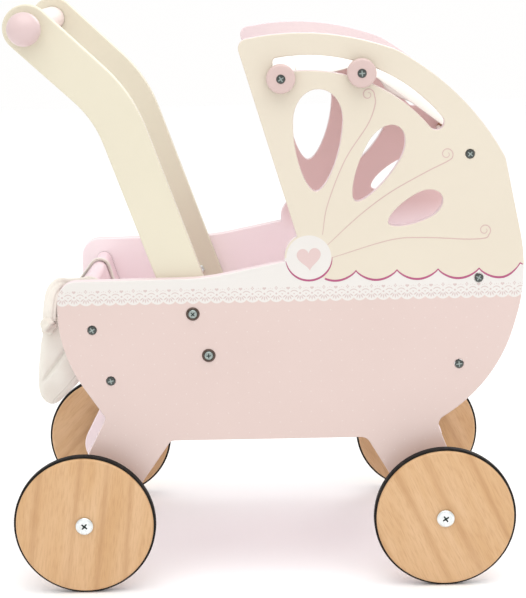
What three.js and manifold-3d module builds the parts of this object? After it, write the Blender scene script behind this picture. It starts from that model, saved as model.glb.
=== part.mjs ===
// A wooden doll's pram: two shaped side panels with wheels, a tub between them, a push handle and
// a cloth hood on three rods. Millimetres. +X points forward, away from the handle; +Y is the
// pram's left; +Z is up. The origin is on the ground, at the middle of the pram's length and width.

import * as THREE from 'three';
import { mergeVertices } from 'three/addons/utils/BufferGeometryUtils.js';
import Module from 'manifold-3d';

const wasm = await Module();
wasm.setup();

// ---------------------------------------------------------------- driving dimensions

const GAP = 0.3;                          // air left where two pieces touch
const CHORD_ERROR = 0.08;                 // how far a faceted arc may stray from the true one

// side panels
const PANEL_IN = 119;                     // inner face, from the middle
const PANEL_T = 12;
const PANEL_OUT = PANEL_IN + PANEL_T;

// wheels and axles
const WHEEL_R = 68.7;                     // over the tyre
const WHEEL_T = 15;
const WHEEL_IN = 147.5;
const WHEEL_OUT = WHEEL_IN + WHEEL_T;
const DISC_R = 66.5;
const TYRE_W = 8;
const AXLE_R = 5;
const HUB_SHANK_R = 4;
const HUB_HEAD_R = 8.5;
const HUB_HEAD_T = 2.4;
const REAR_AXLE_X = -179;
const FRONT_AXLE_X = 169.5;
const FOOT_R = 26;                        // rounded foot of each leg, round its axle

// hood
const DISC_MOTIF = { x: 42.4, z: 321.3, r: 23.3 };   // round lobe where hood and tub meet
const SLOT = { x: 41.7, z: 346.8, r: 159, half: 7.3, end: 39.4 };   // arc that the rods slide along
const ROD_R = 6;
const REST_NOTCH = { x: 18.7, z: 492 };   // front rod, parked in the notch
const MID_ROD_ANGLE = 70.6;               // middle rod on the slot's arc, degrees from +X
const REAR_ROD = { x: 196, z: 417.3 };
const ROD_KNOB_R = 13.6;
const ROD_KNOB_T = 11;
const ROD_KNOB_AIR = 1.6;                 // between knob and panel

// handle
const BAR = { x: -218.7, z: 542.2, r: 12.5 };
const ARM_BEND = { x: -140.2, z: 467.8 };
const ARM_END = { x: -47.7, z: 205 };
const ARM_HALF = 21.6;                    // half the width of an arm
const ARM_T = 15;
const ARM_OUT = PANEL_IN - GAP;
const ARM_IN = ARM_OUT - ARM_T;
const ARM_BOLTS = [{ x: -69.8, z: 268.8 }, { x: -55.6, z: 227.6 }];
const BALL_R = 16.2;
const STUD_R = 3;

// tub
const BOARD_T = 16;
const REAR_BOARD = { x: -150.9, z: 204.2, lean: -0.32, low: 166, top: 288 };
const FRONT_BOARD = { x: 185.8, z: 214.2, lean: 0.222, low: 173, top: 329 };
const FLOOR_LOW = 162;
const FLOOR_T = 12;
const GROOVE = 4;                         // depth of the floor's groove in each panel

// fasteners
const SCREW_R = 2;
const SCREW_HEAD_R = 4.15;
const SCREW_HEAD_T = 2.6;
const SCREW_IN_WOOD = 25;
const BOLT_R = 3;
const BOLT_HEAD_R = 4.3;
const BOLT_HEAD_T = 2.4;
const NUT_R = 5.2;
const NUT_T = 6;

// soft pieces
const CLOTH_T = 2.5;
const CLOTH_HALF_WIDTH = 114;
const BAG_HALF_WIDTH = 92;
const BAG_WALL = 3.5;
const STRAP_Y = 62;
const STRAP_W = 7;
const STRAP_T = 2;

// ---------------------------------------------------------------- colours

const paint = (color, roughness = 0.45) => ({ color, roughness, metalness: 0 });
const CREAM = paint(0xf0e8d2);
const PINK = paint(0xf0dad6);
const KNOB_PINK = paint(0xe8caca);
const PLY = paint(0xe6bd8c, 0.5);
const DOWEL = paint(0xd9a878, 0.6);
const RUBBER = paint(0x25211e, 0.75);
const COTTON = paint(0xf4f1ea, 0.95);
const ZINC = { color: 0xd5dcda, roughness: 0.3, metalness: 1 };
const DARK_STEEL = { color: 0x4d524f, roughness: 0.35, metalness: 1 };

// ---------------------------------------------------------------- geometry helpers

const rad = THREE.MathUtils.degToRad;

// One closed body: shared corners merged, slivers dropped, faces turned outward.
function closed(geometry) {
  const bare = new THREE.BufferGeometry();
  bare.setAttribute('position', geometry.getAttribute('position').clone());
  bare.setIndex(geometry.getIndex());
  const merged = mergeVertices(bare, 1e-4);
  const position = merged.getAttribute('position');
  const index = merged.getIndex().array;
  const kept = [];
  const [a, b, c] = [new THREE.Vector3(), new THREE.Vector3(), new THREE.Vector3()];
  let volume = 0;
  for (let i = 0; i < index.length; i += 3) {
    const [p, q, r] = [index[i], index[i + 1], index[i + 2]];
    if (p === q || q === r || p === r) continue;
    kept.push(p, q, r);
    a.fromBufferAttribute(position, p);
    b.fromBufferAttribute(position, q);
    c.fromBufferAttribute(position, r);
    volume += a.dot(b.cross(c));
  }
  if (volume < 0) kept.reverse();
  merged.setIndex(kept);
  return merged;
}

function toSolid(geometry) {
  const body = closed(geometry);
  const vertProperties = new Float32Array(body.getAttribute('position').array);
  const triVerts = new Uint32Array(body.getIndex().array);
  return new wasm.Manifold(new wasm.Mesh({ numProp: 3, vertProperties, triVerts }));
}

function toGeometry(solid) {
  const mesh = solid.getMesh();
  const geometry = new THREE.BufferGeometry();
  geometry.setAttribute('position', new THREE.BufferAttribute(mesh.vertProperties, 3));
  geometry.setIndex(new THREE.BufferAttribute(mesh.triVerts, 1));
  return geometry;
}

function cut(geometry, ...tools) {
  return toGeometry(tools.reduce((solid, tool) => solid.subtract(toSolid(tool)), toSolid(geometry)));
}

function join(...pieces) {
  return toGeometry(pieces.map(toSolid).reduce((a, b) => a.add(b)));
}

// Points along an arc from angle `from` to angle `to`, in radians, either way round.
function arc(x, z, r, from, to) {
  const step = 2 * Math.acos(1 - Math.min(CHORD_ERROR / r, 0.5));
  const count = Math.max(2, Math.ceil(Math.abs(to - from) / step));
  return Array.from({ length: count + 1 }, (_, i) => {
    const angle = from + (to - from) * i / count;
    return new THREE.Vector2(x + r * Math.cos(angle), z + r * Math.sin(angle));
  });
}

// A closed outline, drawn clockwise. Each stop is a corner [x, z, radius], a circle that the
// outline wraps round { wrap: [x, z, radius] }, or a ready run of points { run: [...] }.
function outline(stops) {
  // Angle at which the straight line between a point and a wrapped circle touches the circle;
  // side is -1 where the outline arrives from the point and +1 where it leaves for it.
  const touch = ([x, z, r], point, side) => {
    const away = point.clone().sub(new THREE.Vector2(x, z));
    return away.angle() + side * Math.acos(r / away.length());
  };
  // Where the outline meets the stop, seen from a neighbouring corner.
  const anchor = (stop, from, side) => {
    if (stop.run) return side > 0 ? stop.run[stop.run.length - 1] : stop.run[0];
    const [x, z, r] = stop.wrap ?? stop;
    if (!stop.wrap || !from) return new THREE.Vector2(x, z);
    const angle = touch(stop.wrap, from, side);
    return new THREE.Vector2(x + r * Math.cos(angle), z + r * Math.sin(angle));
  };
  return stops.flatMap((stop, i) => {
    if (stop.run) return stop.run;
    const previous = stops[(i + stops.length - 1) % stops.length];
    const next = stops[(i + 1) % stops.length];
    if (stop.wrap) {
      const [x, z, r] = stop.wrap;
      const from = touch(stop.wrap, anchor(previous, null, 1), -1);
      let to = touch(stop.wrap, anchor(next, null, -1), 1);
      while (to > from) to -= 2 * Math.PI;
      return arc(x, z, r, from, to);
    }
    const [x, z, r] = stop;
    const corner = new THREE.Vector2(x, z);
    const inward = anchor(previous, corner, 1).clone().sub(corner).normalize();
    const outward = anchor(next, corner, -1).clone().sub(corner).normalize();
    const half = Math.acos(THREE.MathUtils.clamp(inward.dot(outward), -1, 1)) / 2;
    const middle = inward.clone().add(outward).normalize();
    const centre = corner.clone().addScaledVector(middle, r / Math.sin(half));
    const reach = r / Math.tan(half);
    const start = corner.clone().addScaledVector(inward, reach).sub(centre);
    const end = corner.clone().addScaledVector(outward, reach).sub(centre);
    const turn = Math.atan2(start.cross(end), start.dot(end));
    return arc(centre.x, centre.y, r, start.angle(), start.angle() + turn);
  });
}

// A plate with its outline in the XZ plane, between two values of Y.
function plate(points, yLow, yHigh) {
  const geometry = new THREE.ExtrudeGeometry(new THREE.Shape(points), {
    depth: yHigh - yLow, bevelEnabled: false,
  });
  geometry.rotateX(Math.PI / 2);
  geometry.translate(0, yHigh, 0);
  return geometry;
}

function box(xLow, xHigh, yLow, yHigh, zLow, zHigh) {
  const geometry = new THREE.BoxGeometry(xHigh - xLow, yHigh - yLow, zHigh - zLow);
  geometry.translate((xLow + xHigh) / 2, (yLow + yHigh) / 2, (zLow + zHigh) / 2);
  return geometry;
}

// A piece turned about a line parallel to Y through (x, z). Its profile is [radius, y] pairs.
function turned(profile, x, z, sides = 10) {
  const points = profile.map(([r, y]) => new THREE.Vector2(r, y));
  const geometry = new THREE.LatheGeometry(points, sides);
  geometry.translate(x, 0, z);
  return closed(geometry);
}

function pin(x, z, r, yLow, yHigh, sides = 10) {
  return turned([[0, yLow], [r, yLow], [r, yHigh], [0, yHigh]], x, z, sides);
}

// side is -1 on the pram's right and +1 on its left
const SIDES = [['right', -1], ['left', 1]];
const span = (side, a, b) => (side > 0 ? [a, b] : [-b, -a]);
const outward = (side, profile) => profile.map(([r, y]) => [r, side * y]);

const pram = new THREE.Group();

function add(name, geometry, finish) {
  const mesh = new THREE.Mesh(closed(geometry), new THREE.MeshStandardMaterial(finish));
  mesh.name = name;
  pram.add(mesh);
}

// ---------------------------------------------------------------- side panels

const boardX = (board, z) => board.x + board.lean * (z - board.z);

const PANEL_SCREWS = [
  ['rear_board_upper', boardX(REAR_BOARD, 254.8), 254.8],
  ['rear_board_lower', REAR_BOARD.x, REAR_BOARD.z],
  ['front_board_upper', boardX(FRONT_BOARD, 298.4), 298.4],
  ['front_board_lower', FRONT_BOARD.x, FRONT_BOARD.z],
  ['rear_rod', REAR_ROD.x, REAR_ROD.z],
];

const PANEL_OUTLINE = outline([
  [-197.8, 302.3, 19],                                // rear top corner of the tub
  [-56, 303.2, 200],
  { run: arc(DISC_MOTIF.x, DISC_MOTIF.z, DISC_MOTIF.r, rad(188.4), rad(118)) },
  [-23.1, 527.1, 9],                                  // mouth of the hood
  [48.9, 541, 250],
  [128.2, 516.3, 70],
  [197.4, 471.3, 254],
  [229.5, 413.3, 10],                                 // hood meets the nose
  [253, 299.8, 173], 
  [222.5, 195.9, 150],
  [164.2, 157.2, 9],
  { wrap: [FRONT_AXLE_X, WHEEL_R, FOOT_R] },
  [96.1, 142.5, 10],
  [-94.5, 143, 6],
  { wrap: [REAR_AXLE_X, WHEEL_R, FOOT_R] },
  [-157.1, 166.6, 5],
  [-203.6, 237.2, 137],
]);

// The hood slot: an arc for the rods, with a notch at its mouth end that the front rod drops into.
function slotOutline() {
  const outer = SLOT.r + SLOT.half;
  const inner = SLOT.r - SLOT.half;
  const end = rad(SLOT.end);
  const left = REST_NOTCH.x - SLOT.half;
  const right = REST_NOTCH.x + SLOT.half;
  const notchZ = REST_NOTCH.z - ROD_R - GAP + SLOT.half;
  const angleAt = (x, r) => Math.acos((x - SLOT.x) / r);
  const endX = SLOT.x + SLOT.r * Math.cos(end);
  const endZ = SLOT.z + SLOT.r * Math.sin(end);
  const cornerX = left + 4;
  return outline([
    { run: arc(REST_NOTCH.x, notchZ, SLOT.half, 0, -Math.PI) },
    [left, SLOT.z + outer * Math.sin(angleAt(left, outer)), 3.5],
    { run: arc(SLOT.x, SLOT.z, outer, angleAt(cornerX, outer), end) },
    { run: arc(endX, endZ, SLOT.half, end, end - Math.PI).slice(1, -1) },
    { run: arc(SLOT.x, SLOT.z, inner, end, angleAt(right + 3, inner)) },
    [right, SLOT.z + inner * Math.sin(angleAt(right, inner)), 2],
  ]);
}

// A cut-out shaped like a butterfly's wing spot: a round end, widest at `widest` of the way along,
// narrowing to a blunt tip.
function petalOutline(round, tip, halfWidth, widest, bluntness) {
  const start = new THREE.Vector2(...round);
  const along = new THREE.Vector2(...tip).sub(start);
  const across = new THREE.Vector2(-along.y, along.x).normalize();
  const at = (fraction, offset) => start.clone().addScaledVector(along, fraction)
    .addScaledVector(across, offset);
  const shape = new THREE.Shape();
  const curve = (a, b, c) => shape.bezierCurveTo(a.x, a.y, b.x, b.y, c.x, c.y);
  const roundPull = 0.56;
  const tipPull = (1 - widest) * 0.5;
  shape.moveTo(start.x, start.y);
  curve(at(0, halfWidth * roundPull), at(widest * (1 - roundPull), halfWidth), at(widest, halfWidth));
  curve(at(widest + tipPull, halfWidth), at(1, bluntness), at(1, 0));
  curve(at(1, -bluntness), at(widest + tipPull, -halfWidth), at(widest, -halfWidth));
  curve(at(widest * (1 - roundPull), -halfWidth), at(0, -halfWidth * roundPull), at(0, 0));
  return shape.getPoints(9).slice(0, -1);
}

const PETALS = [
  petalOutline([54.4, 481], [50, 384.3], 23.4, 0.31, 9),
  petalOutline([128.5, 444.5], [87.2, 374.5], 17.2, 0.33, 7),
  petalOutline([169.5, 378], [118.5, 352.5], 13.2, 0.33, 6),
];

function sidePanel(side) {
  const [yLow, yHigh] = span(side, PANEL_IN, PANEL_OUT);
  const through = [yLow - 1, yHigh + 1];
  const screwHole = ([, x, z]) => turned(outward(side, [
    [0, PANEL_IN - 1], [SCREW_R + GAP, PANEL_IN - 1], [SCREW_R + GAP, PANEL_OUT - SCREW_HEAD_T - GAP],
    [SCREW_HEAD_R + GAP, PANEL_OUT], [SCREW_HEAD_R + GAP, PANEL_OUT + 1], [0, PANEL_OUT + 1],
  ]), x, z);
  const groove = span(side, PANEL_IN - 1, PANEL_IN + GROOVE + GAP);
  return cut(
    plate(PANEL_OUTLINE, yLow, yHigh),
    plate(slotOutline(), ...through),
    ...PETALS.map((petal) => plate(petal, ...through)),
    ...PANEL_SCREWS.map(screwHole),
    ...ARM_BOLTS.map(({ x, z }) => pin(x, z, BOLT_R + GAP, ...through)),
    ...[REAR_AXLE_X, FRONT_AXLE_X].map((x) => pin(x, WHEEL_R, AXLE_R + GAP, ...through, 16)),
    box(FLOOR_REAR - GAP, FLOOR_FRONT + GAP, ...groove, FLOOR_LOW - GAP, FLOOR_LOW + FLOOR_T + GAP),
  );
}

// ---------------------------------------------------------------- tub

const boardHalfX = (board) => BOARD_T / 2 * Math.hypot(1, board.lean);
const FLOOR_REAR = boardX(REAR_BOARD, FLOOR_LOW + FLOOR_T) + boardHalfX(REAR_BOARD) + 4.5;
const FLOOR_FRONT = boardX(FRONT_BOARD, FRONT_BOARD.low) - boardHalfX(FRONT_BOARD) - 0.5;

// A leaning end board with a rounded top edge, screwed on through both side panels.
function endBoard(board, screws) {
  const half = boardHalfX(board);
  const crest = boardCrest(board);
  const points = outline([
    [boardX(board, board.low) + half, board.low, 1],
    [boardX(board, board.low) - half, board.low, 1],
    { wrap: [crest.x, crest.z, BOARD_T / 2] },
  ]);
  const holes = screws.flatMap(([, x, z]) => SIDES.map(([, side]) => {
    const hole = span(side, PANEL_OUT - SCREW_IN_WOOD - 1, PANEL_IN + 1);
    return pin(x, z, SCREW_R + GAP, ...hole);
  }));
  return cut(plate(points, -PANEL_IN + GAP, PANEL_IN - GAP), ...holes);
}

function boardCrest(board) {
  const z = board.top - BOARD_T / 2;
  return { x: boardX(board, z), z };
}

// ---------------------------------------------------------------- handle

function handleArm(side) {
  const upper = new THREE.Vector2(ARM_BEND.x - BAR.x, ARM_BEND.z - BAR.z).normalize();
  const lower = new THREE.Vector2(ARM_END.x - ARM_BEND.x, ARM_END.z - ARM_BEND.z).normalize();
  const bendRadius = 122;                             // of the arm's middle line
  const mitre = ARM_HALF / Math.cos((upper.angle() - lower.angle()) / 2);
  const bisector = new THREE.Vector2(-upper.y - lower.y, upper.x + lower.x).normalize();
  const bend = (offset, r) => [
    ARM_BEND.x + bisector.x * offset * mitre, ARM_BEND.z + bisector.y * offset * mitre, r,
  ];
  const foot = (offset) => [ARM_END.x - lower.y * offset * ARM_HALF,
    ARM_END.z + lower.x * offset * ARM_HALF, 13];
  const points = outline([
    { wrap: [BAR.x, BAR.z, ARM_HALF + 0.8] },
    bend(1, bendRadius + ARM_HALF),
    foot(1),
    foot(-1),
    bend(-1, bendRadius - ARM_HALF),
  ]);
  const [yLow, yHigh] = span(side, ARM_IN, ARM_OUT);
  return cut(
    plate(points, yLow, yHigh),
    pin(BAR.x, BAR.z, STUD_R + GAP, yLow - 1, yHigh + 1),
    ...ARM_BOLTS.map(({ x, z }) => pin(x, z, BOLT_R + GAP, yLow - 1, yHigh + 1)),
  );
}

// A ball with a flat seat, and the stud that runs through the arm into the end of the bar.
function handleKnob(side) {
  const seat = ARM_OUT + GAP;
  const centre = seat + BALL_R - 1.5;
  const steps = 7;
  const from = Math.asin((seat - centre) / BALL_R);
  const ball = Array.from({ length: steps + 1 }, (_, i) => {
    const angle = from + (Math.PI / 2 - from) * i / steps;
    return [i === steps ? 0 : BALL_R * Math.cos(angle), centre + BALL_R * Math.sin(angle)];
  });
  const stud = [[0, ARM_IN - 14], [STUD_R, ARM_IN - 14], [STUD_R, seat]];
  return turned(outward(side, [...stud, ...ball]), BAR.x, BAR.z, 18);
}

// ---------------------------------------------------------------- rods, screws, bolts

// A dowel along Y with a pilot hole in each end.
function dowel(x, z, r, halfLength, pilotR, pilotDepth) {
  return cut(
    pin(x, z, r, -halfLength, halfLength, 24),
    ...SIDES.map(([, side]) => pin(x, z, pilotR, ...span(side, halfLength - pilotDepth, halfLength + 1))),
  );
}

// A countersunk wood screw. `face` is the Y of the surface that its head sits in.
function woodScrew(side, x, z, face, length) {
  return turned(outward(side, [
    [0, face - length], [SCREW_R, face - length + 2], [SCREW_R, face - SCREW_HEAD_T],
    [SCREW_HEAD_R, face - GAP], [SCREW_HEAD_R, face + GAP], [0, face + 2 * GAP],
  ]), x, z);
}

// A machine bolt through panel and arm, with a domed head outside.
function handleBolt(side, x, z) {
  const seat = PANEL_OUT + GAP;
  return turned(outward(side, [
    [0, ARM_IN - 4], [BOLT_R, ARM_IN - 4], [BOLT_R, seat], [BOLT_HEAD_R, seat],
    [BOLT_HEAD_R, seat + 1.2], [BOLT_HEAD_R - 1.2, seat + BOLT_HEAD_T], [0, seat + BOLT_HEAD_T],
  ]), x, z);
}

// The cap nut that closes a bolt on the arm's inner face.
function capNut(side, x, z) {
  const seat = ARM_IN - GAP;
  return turned(outward(side, [
    [0, seat - NUT_T], [NUT_R - 1.5, seat - NUT_T], [NUT_R, seat - NUT_T + 1.5], [NUT_R, seat],
    [BOLT_R + GAP, seat], [BOLT_R + GAP, ARM_IN - 4 - GAP], [0, ARM_IN - 4 - GAP],
  ]), x, z);
}

// ---------------------------------------------------------------- hood

const ROD_HALF = PANEL_OUT + ROD_KNOB_AIR - GAP;
const KNOB_FACE = PANEL_OUT + ROD_KNOB_AIR + ROD_KNOB_T;

// A round knob on the end of a sliding rod, recessed for the screw that holds it.
function rodKnob(side, x, z) {
  const back = PANEL_OUT + ROD_KNOB_AIR;
  const round = 1.6;
  return turned(outward(side, [
    [SCREW_R + GAP, back], [ROD_KNOB_R - round, back], [ROD_KNOB_R, back + round],
    [ROD_KNOB_R, KNOB_FACE - round], [ROD_KNOB_R - round, KNOB_FACE],
    [SCREW_HEAD_R + GAP, KNOB_FACE], [SCREW_R + GAP, KNOB_FACE - SCREW_HEAD_T - GAP],
    [SCREW_R + GAP, back],
  ]), x, z, 20);
}

function addSlidingRod(name, x, z) {
  add(`canopy_${name}_rod`, dowel(x, z, ROD_R, ROD_HALF, SCREW_R + GAP, 16), DOWEL);
  for (const [sideName, side] of SIDES) {
    add(`${sideName}_${name}_rod_knob`, rodKnob(side, x, z), KNOB_PINK);
    add(`${sideName}_${name}_rod_screw`, woodScrew(side, x, z, KNOB_FACE, 24), DARK_STEEL);
  }
}

// The hood cloth: one curved sheet over the rods, wide enough of them for both to travel.
function hoodCloth() {
  const clearOfRods = SLOT.r + SLOT.half;
  const [mouth, nose] = [rad(98.5), rad(30.5)];
  const upper = arc(SLOT.x, SLOT.z, clearOfRods + CLOTH_T, mouth, nose);
  const lower = arc(SLOT.x, SLOT.z, clearOfRods, nose, mouth);
  return plate([...upper, ...lower], -CLOTH_HALF_WIDTH, CLOTH_HALF_WIDTH);
}

// ---------------------------------------------------------------- wheels

// A plywood disc with eased edges, bored for its bolt.
function wheelDisc(side) {
  const bore = HUB_SHANK_R + 0.6;
  const ease = 2.2;
  return turned(outward(side, [
    [bore, WHEEL_IN], [DISC_R - ease, WHEEL_IN], [DISC_R, WHEEL_IN + ease],
    [DISC_R, WHEEL_OUT - ease], [DISC_R - ease, WHEEL_OUT], [bore, WHEEL_OUT], [bore, WHEEL_IN],
  ]), 0, 0, 36);
}

// The rubber band stretched round the middle of a disc's rim.
function wheelTyre(side) {
  const [low, high] = [WHEEL_IN + (WHEEL_T - TYRE_W) / 2, WHEEL_OUT - (WHEEL_T - TYRE_W) / 2];
  const seat = DISC_R + GAP;
  return turned(outward(side, [
    [seat, low], [WHEEL_R, low], [WHEEL_R, high], [seat, high], [seat, low],
  ]), 0, 0, 36);
}

function hubBolt(side) {
  const seat = WHEEL_OUT + GAP;
  return turned(outward(side, [
    [0, WHEEL_IN - 0.2], [HUB_SHANK_R, WHEEL_IN - 0.2], [HUB_SHANK_R, seat], [HUB_HEAD_R, seat],
    [HUB_HEAD_R, seat + 1.4], [HUB_HEAD_R - 1, seat + HUB_HEAD_T], [0, seat + HUB_HEAD_T],
  ]), 0, 0, 16);
}

function spacer(side) {
  const [low, high] = [PANEL_OUT + GAP, WHEEL_IN - 2 * GAP];
  const [bore, rim] = [AXLE_R + GAP, 10];
  return turned(outward(side, [[bore, low], [rim, low], [rim, high], [bore, high], [bore, low]]), 0, 0, 12);
}

function addAxle(name, x) {
  add(`${name}_axle`, pin(x, WHEEL_R, AXLE_R, -WHEEL_IN + 0.5, WHEEL_IN - 0.5, 16), ZINC);
  for (const [sideName, side] of SIDES) {
    const pieces = [
      ['wheel_disc', wheelDisc, PLY], ['tyre', wheelTyre, RUBBER],
      ['hub_bolt', hubBolt, ZINC], ['axle_spacer', spacer, PLY],
    ];
    for (const [piece, build, finish] of pieces) {
      const geometry = build(side);
      geometry.translate(x, 0, WHEEL_R);
      add(`${sideName}_${name}_${piece}`, geometry, finish);
    }
  }
}

// ---------------------------------------------------------------- bag

// A cotton bag behind the rear board, open at the top. Its two tapes lie over the board's rounded
// top edge, which they can turn about.
function storageBag() {
  const crest = boardCrest(REAR_BOARD);
  const mouthZ = 262;
  const sack = outline([
    [-196, mouthZ, 3], [-183, 206, 24], [-208, 158, 9], [-227, 172, 12], [-224, mouthZ, 1.2],
  ]);
  const hollow = outline([
    [-199.5, mouthZ + 2, 1], [-187, 206, 20], [-209, 163, 6], [-223, 174, 9], [-220.5, mouthZ + 2, 1],
  ]);
  const inner = BOARD_T / 2 + 2 * GAP;
  const tape = [
    ...arc(crest.x, crest.z, inner, rad(60), rad(140)),
    new THREE.Vector2(-197, mouthZ - 8), new THREE.Vector2(-199, mouthZ - 6),
    ...arc(crest.x, crest.z, inner + STRAP_T, rad(136), rad(60)),
  ];
  const shell = cut(
    plate(sack, -BAG_HALF_WIDTH, BAG_HALF_WIDTH),
    plate(hollow, -BAG_HALF_WIDTH + BAG_WALL, BAG_HALF_WIDTH - BAG_WALL),
  );
  const tapes = SIDES.map(([, side]) => {
    const middle = side * STRAP_Y;
    return plate(tape, middle - STRAP_W / 2, middle + STRAP_W / 2);
  });
  return join(shell, ...tapes);
}

// ---------------------------------------------------------------- assembly

for (const [sideName, side] of SIDES) {
  add(`${sideName}_side_panel`, sidePanel(side), CREAM);
  add(`${sideName}_handle_arm`, handleArm(side), CREAM);
  add(`${sideName}_handle_knob`, handleKnob(side), KNOB_PINK);
  ARM_BOLTS.forEach(({ x, z }, i) => {
    const level = ['upper', 'lower'][i];
    add(`${sideName}_handle_bolt_${level}`, handleBolt(side, x, z), ZINC);
    add(`${sideName}_handle_nut_${level}`, capNut(side, x, z), DARK_STEEL);
  });
  for (const [name, x, z] of PANEL_SCREWS) {
    add(`${sideName}_${name}_screw`, woodScrew(side, x, z, PANEL_OUT, SCREW_IN_WOOD), DARK_STEEL);
  }
}
add('handle_bar', dowel(BAR.x, BAR.z, BAR.r, ARM_IN - GAP, STUD_R + GAP, 15), KNOB_PINK);
add('rear_end_board', endBoard(REAR_BOARD, PANEL_SCREWS.slice(0, 2)), PINK);
add('front_end_board', endBoard(FRONT_BOARD, PANEL_SCREWS.slice(2, 4)), PINK);
add('floor_panel', box(FLOOR_REAR, FLOOR_FRONT, -PANEL_IN - GROOVE, PANEL_IN + GROOVE,
  FLOOR_LOW, FLOOR_LOW + FLOOR_T), PINK);

addAxle('rear', REAR_AXLE_X);
addAxle('front', FRONT_AXLE_X);

const midRodR = SLOT.r - SLOT.half + ROD_R + GAP;
addSlidingRod('front', REST_NOTCH.x, REST_NOTCH.z);
addSlidingRod('middle', SLOT.x + midRodR * Math.cos(rad(MID_ROD_ANGLE)),
  SLOT.z + midRodR * Math.sin(rad(MID_ROD_ANGLE)));
add('canopy_rear_rod', dowel(REAR_ROD.x, REAR_ROD.z, ROD_R, PANEL_IN - GAP, SCREW_R + GAP, 16), DOWEL);
add('canopy_cloth', hoodCloth(), COTTON);
add('storage_bag', storageBag(), COTTON);

export default pram;
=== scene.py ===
"""A wooden doll's pram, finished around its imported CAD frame.

Lengths are millimetres in the frame's axes until a mesh is made: +X forward, away from the
handle; +Y the pram's left; +Z up. Side -1 is the pram's right, which faces the camera.
"""

import math
import random

import bmesh
import bpy
import numpy as np
from mathutils import Matrix, Vector, noise


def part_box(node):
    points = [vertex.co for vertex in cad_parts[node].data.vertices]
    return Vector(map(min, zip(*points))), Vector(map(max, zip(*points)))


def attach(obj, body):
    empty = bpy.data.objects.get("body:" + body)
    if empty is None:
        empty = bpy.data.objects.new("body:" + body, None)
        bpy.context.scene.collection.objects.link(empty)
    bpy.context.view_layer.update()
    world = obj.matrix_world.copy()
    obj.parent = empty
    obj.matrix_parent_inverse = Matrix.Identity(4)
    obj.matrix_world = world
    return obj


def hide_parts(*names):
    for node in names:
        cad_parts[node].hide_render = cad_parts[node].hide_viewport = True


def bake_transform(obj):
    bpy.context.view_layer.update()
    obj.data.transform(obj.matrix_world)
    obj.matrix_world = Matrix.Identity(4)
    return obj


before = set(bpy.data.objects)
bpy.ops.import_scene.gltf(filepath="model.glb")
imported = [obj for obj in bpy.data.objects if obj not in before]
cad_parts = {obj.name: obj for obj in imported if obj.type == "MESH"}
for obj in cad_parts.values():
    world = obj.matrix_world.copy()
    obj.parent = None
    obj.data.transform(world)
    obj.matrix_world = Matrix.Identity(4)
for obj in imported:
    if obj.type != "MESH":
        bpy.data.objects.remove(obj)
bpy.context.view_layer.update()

MM = 0.001
SIDES = (("right", -1), ("left", 1))
ENDS = ("rear", "front")
RANDOM = random.Random(7)


# ---- places, from the frame

class Box:
    """A CAD node's box in millimetres. outer and inner are how far its faces that look away from
    the pram's middle and towards it are from that middle."""

    def __init__(self, node):
        low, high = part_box(node)
        self.low = low / MM
        self.high = high / MM
        self.middle = (self.low + self.high) / 2
        self.size = self.high - self.low
        self.outer = max(abs(self.low.y), abs(self.high.y))
        self.inner = min(abs(self.low.y), abs(self.high.y))


PANEL_OUT = Box("right_side_panel").outer
PANEL_IN = Box("right_side_panel").inner
BOARD_CREST = Vector((-175.16, 0, 280.0))  # middle of the rear board's rounded top edge
BOARD_CREST_R = 8.0


# ---- mesh helpers

def link(name, mesh, material=None):
    obj = bpy.data.objects.new(name, mesh)
    bpy.context.scene.collection.objects.link(obj)
    if material is not None:
        mesh.materials.append(material)
    return obj


def from_points(name, points, faces, material, sharp=50):
    """A mesh from millimetre points, its faces turned outward and its soft edges smoothed."""
    mesh = bpy.data.meshes.new(name)
    mesh.from_pydata([(x * MM, y * MM, z * MM) for x, y, z in points], [], faces)
    tidy_mesh(mesh, sharp)
    return link(name, mesh, material)


def tidy_mesh(mesh, sharp=50):
    bm = bmesh.new()
    bm.from_mesh(mesh)
    bmesh.ops.remove_doubles(bm, verts=bm.verts, dist=1e-6)
    bmesh.ops.recalc_face_normals(bm, faces=bm.faces)
    for face in bm.faces:
        face.smooth = True
    for edge in bm.edges:
        edge.smooth = len(edge.link_faces) == 2 and edge.calc_face_angle() < math.radians(sharp)
    bm.to_mesh(mesh)
    bm.free()


def applied(obj):
    """The same object with its modifiers and its placing worked into a plain mesh."""
    graph = bpy.context.evaluated_depsgraph_get()
    mesh = bpy.data.meshes.new_from_object(obj.evaluated_get(graph))
    mesh.transform(obj.matrix_world)
    name = obj.name
    bpy.data.objects.remove(obj)
    mesh.name = name
    return link(name, mesh)


def rounded(corners, steps=4):
    """Points of an outline whose corners (a, b, radius) are turned into arcs."""
    points = []
    for i, (a, b, radius) in enumerate(corners):
        here = Vector((a, b))
        if radius <= 0:
            points.append((a, b))
            continue
        before = Vector(corners[i - 1][:2]) - here
        after = Vector(corners[(i + 1) % len(corners)][:2]) - here
        half = before.angle(after) / 2
        reach = min(radius / math.tan(half), before.length * 0.49, after.length * 0.49)
        start = here + before.normalized() * reach
        end = here + after.normalized() * reach
        for k in range(steps + 1):
            t = k / steps
            blend = start.lerp(here, t).lerp(here.lerp(end, t), t)
            points.append((blend.x, blend.y))
    return points


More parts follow.
